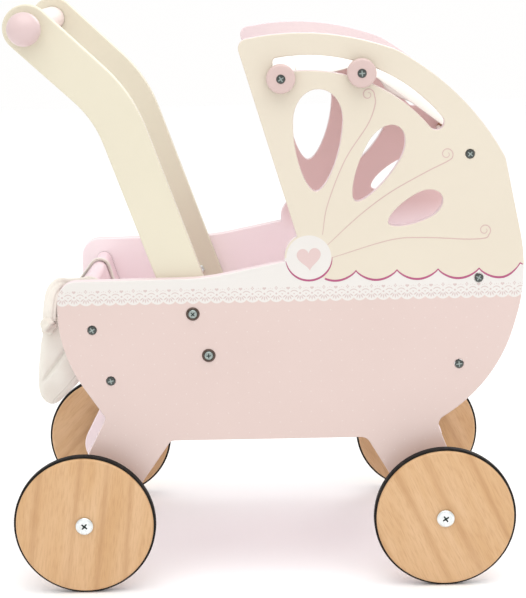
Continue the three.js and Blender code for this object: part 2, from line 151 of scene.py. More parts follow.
def turned(name, profile, centre, material, side=1, sides=48, ring=False, sharp=50):
    """A piece turned about a line parallel to Y through the centre. Its profile is (radius,
    distance from the pram's middle) pairs from axis to axis, or a closed ring."""
    x, z = centre.x, centre.z
    points, faces = [], []
    rows = []
    for r, y in profile:
        if r < 1e-6:
            rows.append([len(points)])
            points.append((x, side * y, z))
            continue
        rows.append(range(len(points), len(points) + sides))
        for k in range(sides):
            angle = 2 * math.pi * k / sides
            points.append((x + r * math.cos(angle), side * y, z + r * math.sin(angle)))
    pairs = list(zip(rows, rows[1:]))
    if ring:
        pairs.append((rows[-1], rows[0]))
    for a, b in pairs:
        for k in range(sides):
            n = (k + 1) % sides
            quad = [a[k % len(a)], a[n % len(a)], b[n % len(b)], b[k % len(b)]]
            face = list(dict.fromkeys(quad))
            if len(face) > 2:
                faces.append(face)
    return from_points(name, points, faces, material, sharp)


def ring_profile(bore, r, low, top, bore_edge, edge, steps=4):
    """The section of a ring from its bore to radius r, with rounded rims."""
    return rounded([(bore, low, bore_edge), (r, low, edge), (r, top, edge), (bore, top, bore_edge)],
                   steps)


def rod_piece(name, box, half, edge, material, sides=40):
    """A round rod along Y, as thick as the box and twice `half` long, with rounded rims."""
    r = box.size.x / 2
    profile = rounded([(0, -half, 0), (r, -half, edge), (r, half, edge), (0, half, 0)])
    return turned(name, profile, box.middle, material, 1, sides)


def face_outlines(node, side):
    """The outlines, outer and holes, of a CAD plate's face that points to `side` along Y."""
    bm = bmesh.new()
    bm.from_mesh(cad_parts[node].data)
    bmesh.ops.remove_doubles(bm, verts=bm.verts, dist=2e-6)
    reach = max(abs(v.co.y) for v in bm.verts) - 1e-5
    cap = {f for f in bm.faces if all(side * v.co.y > reach for v in f.verts)}
    rim = [e for e in bm.edges if sum(f in cap for f in e.link_faces) == 1]
    neighbours = {}
    for edge in rim:
        a, b = edge.verts
        neighbours.setdefault(a, []).append(b)
        neighbours.setdefault(b, []).append(a)
    outlines, seen = [], set()
    for first in list(neighbours):
        if first in seen:
            continue
        loop, here = [], first
        while here is not None:
            seen.add(here)
            loop.append((here.co.x / MM, here.co.z / MM))
            here = next((v for v in neighbours[here] if v not in seen), None)
        outlines.append(loop)
    bm.free()
    return outlines


def plate(name, outlines, y_middle, thickness, rim, material, rim_steps=3):
    """A flat board in the XZ plane with rounded rims, filled between its outlines."""
    curve = bpy.data.curves.new(name, "CURVE")
    curve.dimensions = "2D"
    curve.fill_mode = "BOTH"
    curve.extrude = (thickness / 2 - rim) * MM
    curve.bevel_depth = rim * MM
    curve.bevel_resolution = rim_steps
    curve.offset = -rim * MM
    for outline in outlines:
        spline = curve.splines.new("POLY")
        spline.points.add(len(outline) - 1)
        for point, (x, z) in zip(spline.points, outline):
            point.co = (x * MM, z * MM, 0, 1)
        spline.use_cyclic_u = True
    obj = bpy.data.objects.new(name, curve)
    bpy.context.scene.collection.objects.link(obj)
    upright = Matrix.Rotation(math.pi / 2, 4, "X")
    obj.matrix_world = Matrix.Translation((0, y_middle * MM, 0)) @ upright
    bpy.context.view_layer.update()
    obj = applied(obj)
    tidy_mesh(obj.data, 60)
    obj.data.materials.clear()
    obj.data.materials.append(material)
    if rim > 0.2:
        weighted = obj.modifiers.new("flat faces", "WEIGHTED_NORMAL")
        weighted.keep_sharp = True
    return obj


def strip(name, path, width_at, y_low, y_high, material):
    """A thin flat line laid along a path of (x, z) points, its width given at each point."""
    points = []
    count = len(path)
    for i, (x, z) in enumerate(path):
        before = Vector(path[max(i - 1, 0)])
        after = Vector(path[min(i + 1, count - 1)])
        along = (after - before).normalized()
        across = Vector((-along.y, along.x)) * width_at(i / (count - 1)) / 2
        for y in (y_low, y_high):
            points.append((x + across.x, y, z + across.y))
            points.append((x - across.x, y, z - across.y))
    faces = [[0, 1, 3, 2], [4 * count - 4, 4 * count - 2, 4 * count - 1, 4 * count - 3]]
    for i in range(count - 1):
        a, b = 4 * i, 4 * i + 4
        for p, q in ((0, 1), (1, 3), (3, 2), (2, 0)):
            faces.append([a + p, a + q, b + q, b + p])
    return from_points(name, points, faces, material)


def settle(obj, body, slot, *replaced):
    """Rides the piece on its CAD body and hides the CAD nodes that it stands for. Its material slot is not
    used.
    """
    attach(obj, body)
    if replaced:
        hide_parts(*replaced)
    return obj


def side_board(name, node, side, rim, material, rim_steps=3):
    """Replaces a CAD board that stands lengthwise at one side of the pram."""
    box = Box(node)
    board = plate(name, face_outlines(node, side), side * (box.outer + box.inner) / 2,
                  box.outer - box.inner, rim, material, rim_steps)
    settle(board, "root", "cream_paint", node)


# ---- material helpers

def srgb(red, green, blue):
    """A colour given as 0 to 255 per channel, as the linear values that shaders take."""
    def linear(c):
        c /= 255
        return c / 12.92 if c <= 0.04045 else ((c + 0.055) / 1.055) ** 2.4
    return (linear(red), linear(green), linear(blue), 1)


def dimmed(colour, share):
    """A colour with each of its channels multiplied by share."""
    return tuple(c * share for c in colour[:3]) + (1,)


def math_method(operation, flipped=False):
    """A method that does one operation on its value and any others, or the others and it."""
    def method(self, *others):
        inputs = (*others, self) if flipped else (self, *others)
        return self._math(operation, *inputs)
    return method


class Value:
    """A number that varies over a surface. Arithmetic on it adds Math nodes to its shader."""

    def __init__(self, shader, socket):
        self.shader = shader
        self.socket = socket

    def _math(self, operation, *inputs):
        node = self.shader.nodes.new("ShaderNodeMath")
        node.operation = operation
        for slot, value in zip(node.inputs, inputs):
            self.shader.feed(slot, value)
        return Value(self.shader, node.outputs[0])

    __add__ = __radd__ = math_method("ADD")
    __sub__ = math_method("SUBTRACT")
    __rsub__ = math_method("SUBTRACT", flipped=True)
    __mul__ = __rmul__ = math_method("MULTIPLY")
    __truediv__ = math_method("DIVIDE")
    sin = math_method("SINE")
    abs = math_method("ABSOLUTE")
    sqrt = math_method("SQRT")
    round = math_method("ROUND")
    power = math_method("POWER")
    low = math_method("MINIMUM")
    high = math_method("MAXIMUM")
    angle = math_method("ARCTAN2")

    def near(self, period, start=0.0):
        """The signed distance to the nearest of the places start + n * period."""
        shifted = self - start
        return shifted - (shifted / period).round() * period

    def over(self, limit, soft):
        """0 below the limit and 1 above it, with a soft edge."""
        ramp = self._math("MULTIPLY_ADD", self - limit, 1 / soft, 0.5)
        ramp.socket.node.use_clamp = True
        return ramp

    def under(self, limit, soft):
        return 1 - self.over(limit, soft)


class Shader:
    """A node material with the few kinds of node that this object needs."""

    def __init__(self, name, colour, roughness, metallic=0.0):
        self.material = bpy.data.materials.new(name)
        self.material.use_nodes = True
        tree = self.material.node_tree
        self.nodes = tree.nodes
        self.links = tree.links
        self.surface = next(n for n in self.nodes if n.type == "BSDF_PRINCIPLED")
        self.set("Base Color", colour)
        self.set("Roughness", roughness)
        self.set("Metallic", metallic)
        place = self.nodes.new("ShaderNodeTexCoord")
        self.place = place.outputs["Object"]
        self.uv = place.outputs["UV"]

    def feed(self, slot, value):
        if isinstance(value, Value):
            self.links.new(value.socket, slot)
        elif isinstance(value, bpy.types.NodeSocket):
            self.links.new(value, slot)
        else:
            slot.default_value = value

    def set(self, name, value):
        self.feed(self.surface.inputs[name], value)

    def split(self, vector=None):
        """x, y and z of a vector in metres, as values in millimetres."""
        node = self.nodes.new("ShaderNodeSeparateXYZ")
        self.links.new(vector or self.place, node.inputs[0])
        return [Value(self, out) * 1000.0 for out in node.outputs]

    def _mapped(self, kind, vector, **inputs):
        """A node that reads the place, or the vector if there is one, with its inputs set."""
        node = self.nodes.new(kind)
        for name, value in inputs.items():
            node.inputs[name].default_value = value
        self.links.new(vector or self.place, node.inputs["Vector"])
        return node

    def stretched(self, scale, turn=(0, 0, 0), shift=(0, 0, 0), vector=None):
        """The place seen along turned axes, each then scaled; a small scale draws the pattern out."""
        node = self._mapped("ShaderNodeMapping", vector, Scale=tuple(1 / s for s in scale),
                            Rotation=turn, Location=shift)
        node.vector_type = "TEXTURE"
        return node.outputs[0]

    def noise(self, scale, detail=3.0, rough=0.5, vector=None, distortion=0.0):
        node = self._mapped("ShaderNodeTexNoise", vector, Scale=scale, Detail=detail,
                            Roughness=rough, Distortion=distortion)
        return Value(self, node.outputs["Fac"])

    def wave(self, scale, distortion, detail, vector):
        """Bands that run across X."""
        node = self._mapped("ShaderNodeTexWave", vector, Scale=scale, Distortion=distortion,
                            Detail=detail)
        return Value(self, node.outputs["Fac"])

    def mix(self, factor, a, b):
        """Colour a where factor is 0 and colour b where it is 1."""
        node = self.nodes.new("ShaderNodeMix")
        node.data_type = "RGBA"
        self.feed(node.inputs[0], factor)
        self.feed(node.inputs[6], a)
        self.feed(node.inputs[7], b)
        return node.outputs[2]

    def bump(self, height, distance):
        """A raised relief; distance is the height of a full step, in millimetres."""
        node = self.nodes.new("ShaderNodeBump")
        node.inputs["Strength"].default_value = 1.0
        node.inputs["Distance"].default_value = distance * MM
        self.feed(node.inputs["Height"], height)
        self.links.new(node.outputs[0], self.surface.inputs["Normal"])


# ---- colours

CREAM = srgb(214, 205, 188)
ARM_CREAM = srgb(215, 208, 187)
PINK = srgb(210, 190, 184)
# the panels' pink paint made lighter for their inner faces: painted light for the light that falls into
# the tub
PAINTED_LIGHT_INNER_PINK = srgb(252, 238, 242)
EDGE_PINK = srgb(226, 208, 211)
# near-black brown for thin sheets in the gaps at the board ends and push-bar ends: painted shadow
JOINT_SHADOW_BROWN = srgb(62, 42, 32)
# the panels' pink paint made darker for their inner faces under the cloth hood: painted shade
PAINTED_SHADE_HOOD_PINK = srgb(225, 194, 193)
BOARD_PINK = srgb(234, 209, 216)
BAR_PINK = srgb(238, 219, 215)
KNOB_PINK = srgb(203, 179, 174)
BALL_PINK = srgb(207, 184, 183)
LACE_WHITE = srgb(218, 215, 211)
LACE_MARK = srgb(200, 182, 179)
DOT_WHITE = srgb(222, 213, 208)
MAGENTA = srgb(170, 77, 118)
SWIRL_PINK = srgb(200, 170, 166)
HEART_PINK = srgb(212, 188, 185)
WOOD_LIGHT = srgb(209, 172, 131)
WOOD_DARK = srgb(198, 157, 111)
WOOD_LINE = srgb(171, 126, 82)
DOWEL_LIGHT = srgb(196, 146, 104)
DOWEL_DARK = srgb(150, 98, 62)
COTTON_WHITE = srgb(246, 243, 236)
COTTON_WARM = srgb(226, 216, 202)
TYRE_BLACK = srgb(18, 16, 15)
ZINC = (0.80, 0.84, 0.84, 1)
DARK_ZINC = (0.10, 0.11, 0.105, 1)
BROWN_STEEL = (0.13, 0.095, 0.08, 1)
AXLE_STEEL = (0.56, 0.57, 0.58, 1)
RECESS_ZINC = (0.36, 0.42, 0.40, 1)
# near-black zinc for the cross recesses of the handle bolts and hub screws: painted shade
RECESS_SHADE = (0.05, 0.07, 0.065, 1)
PATCH_SCALE = 9.0  # of the faint patches in paint; lower is larger


def satin(shader):
    """The surface of satin paint: an uneven gloss and the fine peel that a roller leaves."""
    shader.set("Roughness", shader.noise(60.0, 2.0) * 0.12 + 0.34)
    grain = shader.noise(420.0, 2.0, vector=shader.stretched((0.12, 1.0, 1.0)))
    peel = shader.noise(1500.0, 1.0)
    shader.bump(grain * 0.7 + peel * 0.3, 0.05)
    shader.set("Coat Weight", 0.12)
    shader.set("Coat Roughness", 0.25)


def paint(name, colour, shade=0.035):
    """Satin paint with faint patches that are darker by the share `shade`."""
    shader = Shader(name, colour, 0.4)
    patches = shader.noise(PATCH_SCALE, 2.0).over(0.5, 0.5)
    shader.set("Base Color", shader.mix(patches, colour, dimmed(colour, 1 - shade)))
    satin(shader)
    return shader.material


# ---- the printed side panels

DISC = Vector((42.4, 321.3))  # white disc where the hood meets the tub
DISC_R = 21.4
SCALLOP_TOP = 308.0  # cusps of the hood's scalloped edge
SCALLOP_DEPTH = 9.7
SCALLOP_PITCH = 39.2
SCALLOP_ROUND = 0.7  # under 1 gives full arcs with sharp cusps between them
SCALLOP_START = 87.2  # x of one cusp
NOSE_RISE_X = 226.0  # past here the edge turns up towards the nose
NOSE_RISE_RUN = 21.0
NOSE_RISE = 6.0
LACE_PITCH = 11.4
LACE_X = -91.9  # x of one fan
LACE_Z = 287.1  # height of the dot in the middle of each fan
LACE_SCALLOP_DROP = 1.4  # from those dots down to the middles of the band's scallops
LACE_SCALLOP_R = 7.0
FAN_R = 4.6  # from a fan's dot to the middles of its five drops
FAN_STEP = math.radians(26)  # between two drops
CRESCENT_R = 4.1
DOT_PITCH = 20.1
DOT_X = -178.7
DOT_Z = 270.2
DOT_R = 0.62
HEART_MIDDLE = (42.6, 319.3)  # the heart on the white disc
HEART_WIDTH = 23.0
HEART_HEIGHT = 22.0
HEART_TILT = 0.06
DISC_RIM_R = 22.2  # the magenta line under the white disc
DISC_RIM_ARC = 172  # how far it goes round, in degrees
SCALLOP_LINE_END = 246.6  # x where the magenta line reaches the nose
# the inner faces get the cloth hood's painted shade between these heights
HOOD_SHADE_LOW = 322.0  # between these heights the panel's inside is under the hood
HOOD_SHADE_HIGH = 492.0


def scallop_height(x):
    """Height of the hood's scalloped lower edge at x."""
    rise = max(0.0, (x - NOSE_RISE_X) / NOSE_RISE_RUN) ** 2 * NOSE_RISE
    wave = abs(math.sin(math.pi * (x - SCALLOP_START) / SCALLOP_PITCH)) ** SCALLOP_ROUND
    return SCALLOP_TOP - SCALLOP_DEPTH * wave + rise


def lace_marks(x, z):
    """Mask of the printed lace: fans of five drops, with dots, crescents, hearts and crosses."""
    v = z - LACE_Z
    u = x.near(LACE_PITCH, LACE_X)  # from the middle of a fan
    w = x.near(LACE_PITCH, LACE_X + LACE_PITCH / 2)  # from between two fans
    soft = 0.35

    def spot(a, b, r):
        return (a * a + b * b).sqrt().under(r, soft)

    marks = spot(u, v, 0.95)
    reach = (u * u + v * v).sqrt()
    turn = u.angle(0 - v)
    inside = turn.abs().under(FAN_STEP * 2.5, 0.02)
    across = (turn.near(FAN_STEP) * reach).abs()
    along = (reach - FAN_R).abs()
    drop = (across / 0.6 + (along / 2.2).power(2.0)).under(1.0, 0.45)
    marks = marks.high(drop * inside)
    lower = v + LACE_SCALLOP_DROP
    crescent_r = (w * w + lower * lower).sqrt()
    crescent = (crescent_r - CRESCENT_R).abs().under(0.42, soft) * v.over(1.1, 0.6)
    marks = marks.high(crescent)
    triangle = (w.abs() * 1.45 - v).under(1.5, 0.5) * v.under(0.0, 0.5)
    marks = marks.high(triangle)
    marks = marks.high(spot(w, v - 5.3, 0.42))
    marks = marks.high(spot(w.abs() - 1.9, v - 4.6, 0.36))
    heart_u = x.near(2 * LACE_PITCH, LACE_X)
    cross_u = x.near(2 * LACE_PITCH, LACE_X + LACE_PITCH)
    heart = spot(heart_u.abs() - 0.85, v - 5.3, 0.95)
    heart = heart.high((heart_u.abs() + (5.3 - v)).under(1.9, soft) * v.under(5.3, soft))
    marks = marks.high(heart)
    cross = spot(cross_u, v - 6.6, 0.62).high(spot(cross_u, v - 4.2, 0.62))
    cross = cross.high(spot(cross_u.abs() - 0.95, v - 5.4, 0.6))
    return marks.high(cross)


def printed_panel():
    """Cream hood, white lace band and pink dotted body on the outer faces. The edges are plain pink.
    The inner faces are that pink painted lighter as painted light for the tub, darker as painted shade
    under the cloth hood, and plain above the hood's shade."""
    shader = Shader("printed_panel", CREAM, 0.4)
    x, y, z = shader.split()
    soft = 0.5
    wave = ((x - SCALLOP_START) * (math.pi / SCALLOP_PITCH)).sin().abs().power(SCALLOP_ROUND)
    rise = ((x - NOSE_RISE_X) / NOSE_RISE_RUN).high(0.0).power(2.0) * NOSE_RISE
    edge = SCALLOP_TOP - wave * SCALLOP_DEPTH + rise
    front = x.over(DISC.x, soft)
    hood = z.over(edge, soft) * front + z.over(DISC.y, soft) * (1 - front)

    u = x.near(LACE_PITCH, LACE_X)
    v = z - LACE_Z
    lower = v + LACE_SCALLOP_DROP
    scallop = (u * u + lower * lower).sqrt().under(LACE_SCALLOP_R, soft)
    band = v.over(-LACE_SCALLOP_DROP, soft).high(scallop)
    from_disc = ((x - DISC.x).power(2.0) + (z - DISC.y).power(2.0)).sqrt()
    disc = from_disc.under(DISC_R, soft)

    dots_a = (x.near(DOT_PITCH, DOT_X).power(2.0) + z.near(DOT_PITCH, DOT_Z).power(2.0)).sqrt()
    half = DOT_PITCH / 2
    dots_b = (x.near(DOT_PITCH, DOT_X + half).power(2.0)
              + z.near(DOT_PITCH, DOT_Z + half).power(2.0)).sqrt()
    dots = dots_a.low(dots_b).under(DOT_R, soft)

    colour = shader.mix(dots * 0.5, PINK, DOT_WHITE)
    lace = shader.mix(lace_marks(x, z), LACE_WHITE, LACE_MARK)
    colour = shader.mix(band, colour, lace)
    colour = shader.mix(hood, colour, CREAM)
    colour = shader.mix(disc, colour, LACE_WHITE)
    rim = 0.7
    outside = y.abs().over(PANEL_OUT - rim, 0.3)
    within = y.abs().under(PANEL_IN + rim, 0.3)
    # inner faces: painted shade under the cloth hood, plain edge pink above it, and elsewhere the pink
    # made lighter as painted light for the tub
    hood_shade_mask = z.over(HOOD_SHADE_LOW, 30.0) * z.under(HOOD_SHADE_HIGH, 16.0) * x.over(DISC.x - 20, 20.0)
    inner = shader.mix(z.over(HOOD_SHADE_HIGH, 16.0), PAINTED_LIGHT_INNER_PINK, EDGE_PINK)
    inner = shader.mix(hood_shade_mask, inner, PAINTED_SHADE_HOOD_PINK)
    colour = shader.mix(outside, shader.mix(within, EDGE_PINK, inner), colour)
    patches = shader.noise(PATCH_SCALE, 2.0).over(0.5, 0.6)
    shader.set("Base Color", shader.mix(patches * 0.05, colour, srgb(150, 120, 100)))
    satin(shader)
    return shader.material


def swirl_path(stem, centre, radius, turns=1.25, count=60):
    """A smooth stem through its points, then a spiral that curls in over its top; (x, z) points."""
    arrive = Vector(stem[-1]) - Vector(centre)
    start = math.atan2(arrive.y, arrive.x)
    spiral = []
    for i in range(1, count + 1):
        t = i / count
        angle = start + t * turns * 2 * math.pi
        r = arrive.length + (radius * 0.3 - arrive.length) * t
        spiral.append(Vector((centre[0] + r * math.cos(angle), centre[1] + r * math.sin(angle))))
    line = catmull([Vector(p) for p in stem] + [spiral[2]], 90)
    return [(p.x, p.y) for p in line + spiral[3:]]


# each stem from the white disc to the right of its curl, then the curl's centre and size
SWIRLS = {
    "tall": (((55.7, 342.9), (60.9, 371.6), (78.0, 414.0), (99.5, 446.6), (106.7, 465.2),
              (106.2, 474.7)), (100.2, 475.1), 6.0),
    "middle": (((60.3, 333.1), (91.6, 361.3), (120.2, 382.2), (153.4, 400.5), (172.3, 409.6),
                (178.4, 413.2)), (174.0, 417.6), 6.2),
    "low": (((64.9, 320.9), (119.9, 336.6), (153.2, 338.3), (191.3, 336.0), (210.3, 336.6),
             (214.2, 340.1)), (210.0, 344.3), 6.0),
}


def heart_outline(middle, width, height, tilt, count=48):
    """A plump heart; (x, z) points."""
    points = []
    for i in range(count):
        t = 2 * math.pi * i / count
        a = math.sin(t) ** 3
        b = (13 * math.cos(t) - 5 * math.cos(2 * t) - 2 * math.cos(3 * t) - math.cos(4 * t)) / 16
        p = Matrix.Rotation(tilt, 2) @ Vector((a * width / 2, (b + 0.15) * height / 1.82))
        points.append((middle[0] + p.x, middle[1] + p.y))
    return points


def add_prints(side_name, side, inks):
    """The printed lines on a panel's outer face, a hair above the paint."""
    y_low, y_high = sorted((side * (PANEL_OUT - 0.1), side * (PANEL_OUT + 0.12)))
    x_start = DISC.x + 15.0
    steps = 400
    xs = [x_start + (SCALLOP_LINE_END - x_start) * i / steps for i in range(steps + 1)]
    edge = [(x, scallop_height(x)) for x in xs]

    def scallop_width(t):
        below_cusps = max(SCALLOP_TOP - edge[round(t * steps)][1], 0)
        return 1.0 + 1.1 * below_cusps / SCALLOP_DEPTH

    def rim_width(t):
        return 0.3 + 1.7 * math.sin(math.pi * t) ** 0.7

    def swirl_width(t):
        return 0.5 + 0.45 * math.sin(math.pi * min(t * 1.05, 1)) ** 0.5

    angles = [math.radians(-DISC_RIM_ARC + DISC_RIM_ARC * i / 60) for i in range(61)]
    arc = [(DISC.x + DISC_RIM_R * math.cos(a), DISC.y + DISC_RIM_R * math.sin(a)) for a in angles]
    lines = [("scallop", edge, scallop_width, "magenta"), ("disc_rim", arc, rim_width, "magenta")]
    for label, shape in SWIRLS.items():
        lines.append((f"{label}_swirl", swirl_path(*shape), swirl_width, "swirl"))
    for label, path, width_at, ink in lines:
        line = strip(f"{side_name}_{label}_print", path, width_at, y_low, y_high, inks[ink])
        settle(line, "root", "cream_paint")

    outline = heart_outline(HEART_MIDDLE, HEART_WIDTH, HEART_HEIGHT, HEART_TILT)
    heart = plate(f"{side_name}_heart_print", [outline], (y_low + y_high) / 2, y_high - y_low, 0,
                  inks["heart"])
    settle(heart, "root", "cream_paint")


def add_panels():
    material = printed_panel()
    inks = {
        "magenta": paint("magenta_ink", MAGENTA, 0.1),
        "swirl": paint("swirl_ink", SWIRL_PINK, 0.05),
        "heart": paint("heart_ink", HEART_PINK, 0.05),
    }
    for side_name, side in SIDES:
        side_board(f"{side_name}_panel_board", f"{side_name}_side_panel", side, 1.1, material)
        add_prints(side_name, side, inks)


# ---- tub boards and floor

def soften(node, material, width=1.0, segments=3):
    """Rounds the edges of a CAD node that stays, and gives it its material."""
    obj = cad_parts[node]
    obj.data.materials.clear()
    obj.data.materials.append(material)
    weld = obj.modifiers.new("weld", "WELD")
    weld.merge_threshold = 1e-5
    bevel = obj.modifiers.new("soft edges", "BEVEL")
    bevel.width = width * MM
    bevel.segments = segments
    bevel.limit_method = "ANGLE"
    bevel.angle_limit = math.radians(35)
    bevel.use_clamp_overlap = True
    weighted = obj.modifiers.new("flat faces", "WEIGHTED_NORMAL")
    weighted.keep_sharp = False
    for polygon in obj.data.polygons:
        polygon.use_smooth = True


def smooth_crest(outline, steps=24):
    """A board's outline with its rounded top edge redrawn as a fine half circle."""
    count = len(outline)
    spans = sorted(range(count), reverse=True,
                   key=lambda i: (Vector(outline[i]) - Vector(outline[(i + 1) % count])).length)[:2]
    shoulders = [max((outline[i], outline[(i + 1) % count]), key=lambda p: p[1]) for i in spans]
    a, b = sorted((Vector(p) for p in shoulders), key=lambda p: p.x)
    middle = (a + b) / 2
    r = (b - a).length / 2
    start = math.atan2(a.y - middle.y, a.x - middle.x)
    arc = [(middle.x + r * math.cos(start - math.pi * i / steps),
            middle.y + r * math.sin(start - math.pi * i / steps)) for i in range(steps + 1)]
    across = (b - a).normalized()
    up = Vector((-across.y, across.x))
    rest = [p for p in outline if (Vector(p) - middle).dot(up) < -0.5]
    rest.sort(key=lambda p: -(Vector(p) - middle).dot(across))
    return arc + rest


def add_tub():
    pink = paint("board_pink", BOARD_PINK)
    joint = paint("joint_shadow", JOINT_SHADOW_BROWN, 0.2)
    for end in ENDS:
        node = f"{end}_end_board"
        outline = smooth_crest(face_outlines(node, 1)[0])
        reach = Box(node).high.y
        seam = 0.5
        board = plate(f"{end}_board_plank", [outline], 0, 2 * (reach - seam), 0.3, pink)
        settle(board, "root", "cream_paint", node)
        # a thin dark plate at each end of the board, in its gap to the panel: painted shadow
        for side_name, side in SIDES:
            line = plate(f"{side_name}_{end}_board_end_shadow", [outline], side * (reach - seam / 2), seam,
                         0, joint)
            settle(line, "root", "cream_paint")
    soften("floor_panel", pink)


# ---- handle

def add_handle():
    """The arms, each with a ball on its outer face, and the push bar with a thin dark ring of painted
    shadow at each end.
    """
    cream = paint("arm_cream", ARM_CREAM)
    bar_paint = paint("bar_pink", BAR_PINK)
    ball_paint = paint("ball_pink", BALL_PINK)
    for side_name, side in SIDES:
        node = f"{side_name}_handle_arm"
        side_board(f"{side_name}_arm_board", node, side, 1.6, cream, 4)
        seat = Box(node).outer + 0.3

        node = f"{side_name}_handle_knob"
        knob = Box(node)
        r = knob.size.x / 2
        centre = knob.outer - r
        start = math.acos((seat - centre) / r)
        count = 22
        ball = [(0, seat)]
        for i in range(count + 1):
            angle = start * (1 - i / count)
            ball.append((r * math.sin(angle), centre + r * math.cos(angle)))
        ball[-1] = (0, centre + r)
        piece = turned(f"{side_name}_handle_ball", ball, knob.middle, ball_paint, side, 56)
        settle(piece, "root", "knob_pink", node)

    bar = Box("handle_bar")
    r, half = bar.size.x / 2, bar.high.y
    seam = 0.6
    short = half - seam
    piece = rod_piece("push_bar", bar, short, 0.3, bar_paint, 56)
    settle(piece, "root", "knob_pink", "handle_bar")
    # a thin dark ring at each end of the push bar: painted shadow of the gap there
    joint = paint("bar_joint_shadow", JOINT_SHADOW_BROWN, 0.2)
    for side_name, side in SIDES:
        profile = [(0, short), (r, short), (r, half), (0, half)]
        ring = turned(f"{side_name}_bar_joint", profile, bar.middle, joint, side, 56)
        settle(ring, "root", "knob_pink")


# ---- fasteners

def metal(name, colour, roughness, tone=0.2):
    """Plated steel: fine turned scratches and a slightly cloudy plate."""
    shader = Shader(name, colour, roughness, 1.0)
    cloud = shader.noise(300.0, 3.0).over(0.5, 0.5)
    shader.set("Base Color", shader.mix(cloud, colour, dimmed(colour, 1 - tone)))
    shader.set("Roughness", shader.noise(900.0, 2.0) * 0.25 + (roughness - 0.1))
    shader.bump(shader.noise(2600.0, 2.0), 0.03)
    return shader.material


def cross_outline(reach, half):
    """A plus sign with slightly tapered arms."""
    points = []
    for quarter in range(4):
        turn = Matrix.Rotation(quarter * math.pi / 2, 2)
        for a, b in ((half, -half), (reach, -half * 0.72), (reach, half * 0.72)):
            p = turn @ Vector((a, b))
            points.append((p.x, p.y))
    return points


def with_cross(obj, centre, top, side, reach, half, depth, turn, recess):
    """Cuts a driver's cross recess into a head whose top is `top` from the pram's middle."""
    outline = cross_outline(reach, half)
    points, faces = [], []
    for level, scale in ((top + 1.0, 1.12), (top - depth, 0.72)):
        for a, b in outline:
            p = Matrix.Rotation(turn, 2) @ Vector((a * scale, b * scale))
            points.append((centre.x + p.x, side * level, centre.z + p.y))
    n = len(outline)
    faces.append(list(range(n)))
    faces.append(list(range(n, 2 * n)))
    faces += [[i, (i + 1) % n, n + (i + 1) % n, n + i] for i in range(n)]
    cutter = from_points(obj.name + "_cutter", points, faces, recess)
    cut = obj.modifiers.new("recess", "BOOLEAN")
    cut.operation = "DIFFERENCE"
    cut.solver = "EXACT"
    cut.material_mode = "TRANSFER"
    cut.object = cutter
    bpy.context.view_layer.update()
    result = applied(obj)
    bpy.data.objects.remove(cutter)
    tidy_mesh(result.data, 40)
    return result


# radius and height of the head, height of its dome, whether it is countersunk, shank radius
WOOD_SCREW = (4.15, 2.6, 0.4, True, 1.9)
HANDLE_BOLT = (4.3, 2.4, 1.2, False, 2.9)


def add_screw(node, body, slot, head, recess, shape):
    """Replaces a screw or bolt node; shape is WOOD_SCREW or HANDLE_BOLT."""
    box = Box(node)
    side = 1 if box.middle.y > 0 else -1
    top, low = box.outer, box.inner
    radius, height, dome, countersunk, shank = shape
    under = top - height
    rise = 0.5 if countersunk else dome + 0.3  # from the widest part up to the top
    if countersunk:
        skirt = [(shank, under, 0.2), (radius, top - rise, 0.15)]
    else:
        skirt = [(shank, under, 0), (radius, under, 0.25), (radius, top - rise, 0.5)]
    profile = rounded([(0, low, 0), (shank * 0.5, low, 0), (shank, low + 2.5, 0.4), *skirt])
    crown = 6
    for i in range(1, crown + 1):
        angle = i / crown * math.pi / 2
        profile.append((radius * math.cos(angle) ** 0.8, top - rise + rise * math.sin(angle)))
    profile[-1] = (0, top)
    obj = turned(f"{node}_finished", profile, box.middle, head, side, 40)
    turn = RANDOM.uniform(0, math.pi / 2)
    obj = with_cross(obj, box.middle, top, side, radius * 0.6, radius * 0.13, 1.3, turn, recess)
    if not obj.data.materials:
        obj.data.materials.append(head)
    return settle(obj, body, slot, node)


def add_fasteners():
    zinc = metal("zinc_plate", ZINC, 0.28)
    dark = metal("dark_zinc", DARK_ZINC, 0.32)
    bright = metal("recess_zinc", RECESS_ZINC, 0.4)
    # painted shade: the handle bolts' and hub screws' cross recesses are made near black
    shadow = metal("recess_dark", RECESS_SHADE, 0.4)
    brown = metal("cup_washer_steel", BROWN_STEEL, 0.35)
    screws = {f"{end}_board_{level}": "root" for end in ENDS for level in ("upper", "lower")}
    screws.update(rear_rod="root", front_rod="front_rod", middle_rod="middle_rod")
    face = PANEL_OUT
    washer = rounded([(4.6, face + 0.1, 0.3), (6.6, face + 0.1, 0.1), (6.2, face + 0.9, 0.5),
                      (5.0, face + 1.5, 0.5), (4.6, face + 1.1, 0.2)])
    for side_name, side in SIDES:
        for label, body in screws.items():
            add_screw(f"{side_name}_{label}_screw", body, "dark_steel", dark, bright, WOOD_SCREW)
        for level in ("upper", "lower"):
            node = f"{side_name}_handle_bolt_{level}"
            centre = Box(node).middle
            add_screw(node, "root", "zinc", bright, shadow, HANDLE_BOLT)
            cup = turned(f"{side_name}_{level}_cup_washer", washer, centre, brown, side, 48, ring=True)
            settle(cup, "root", "dark_steel")
            add_cap_nut(f"{side_name}_handle_nut_{level}", side, zinc)
    return zinc, shadow


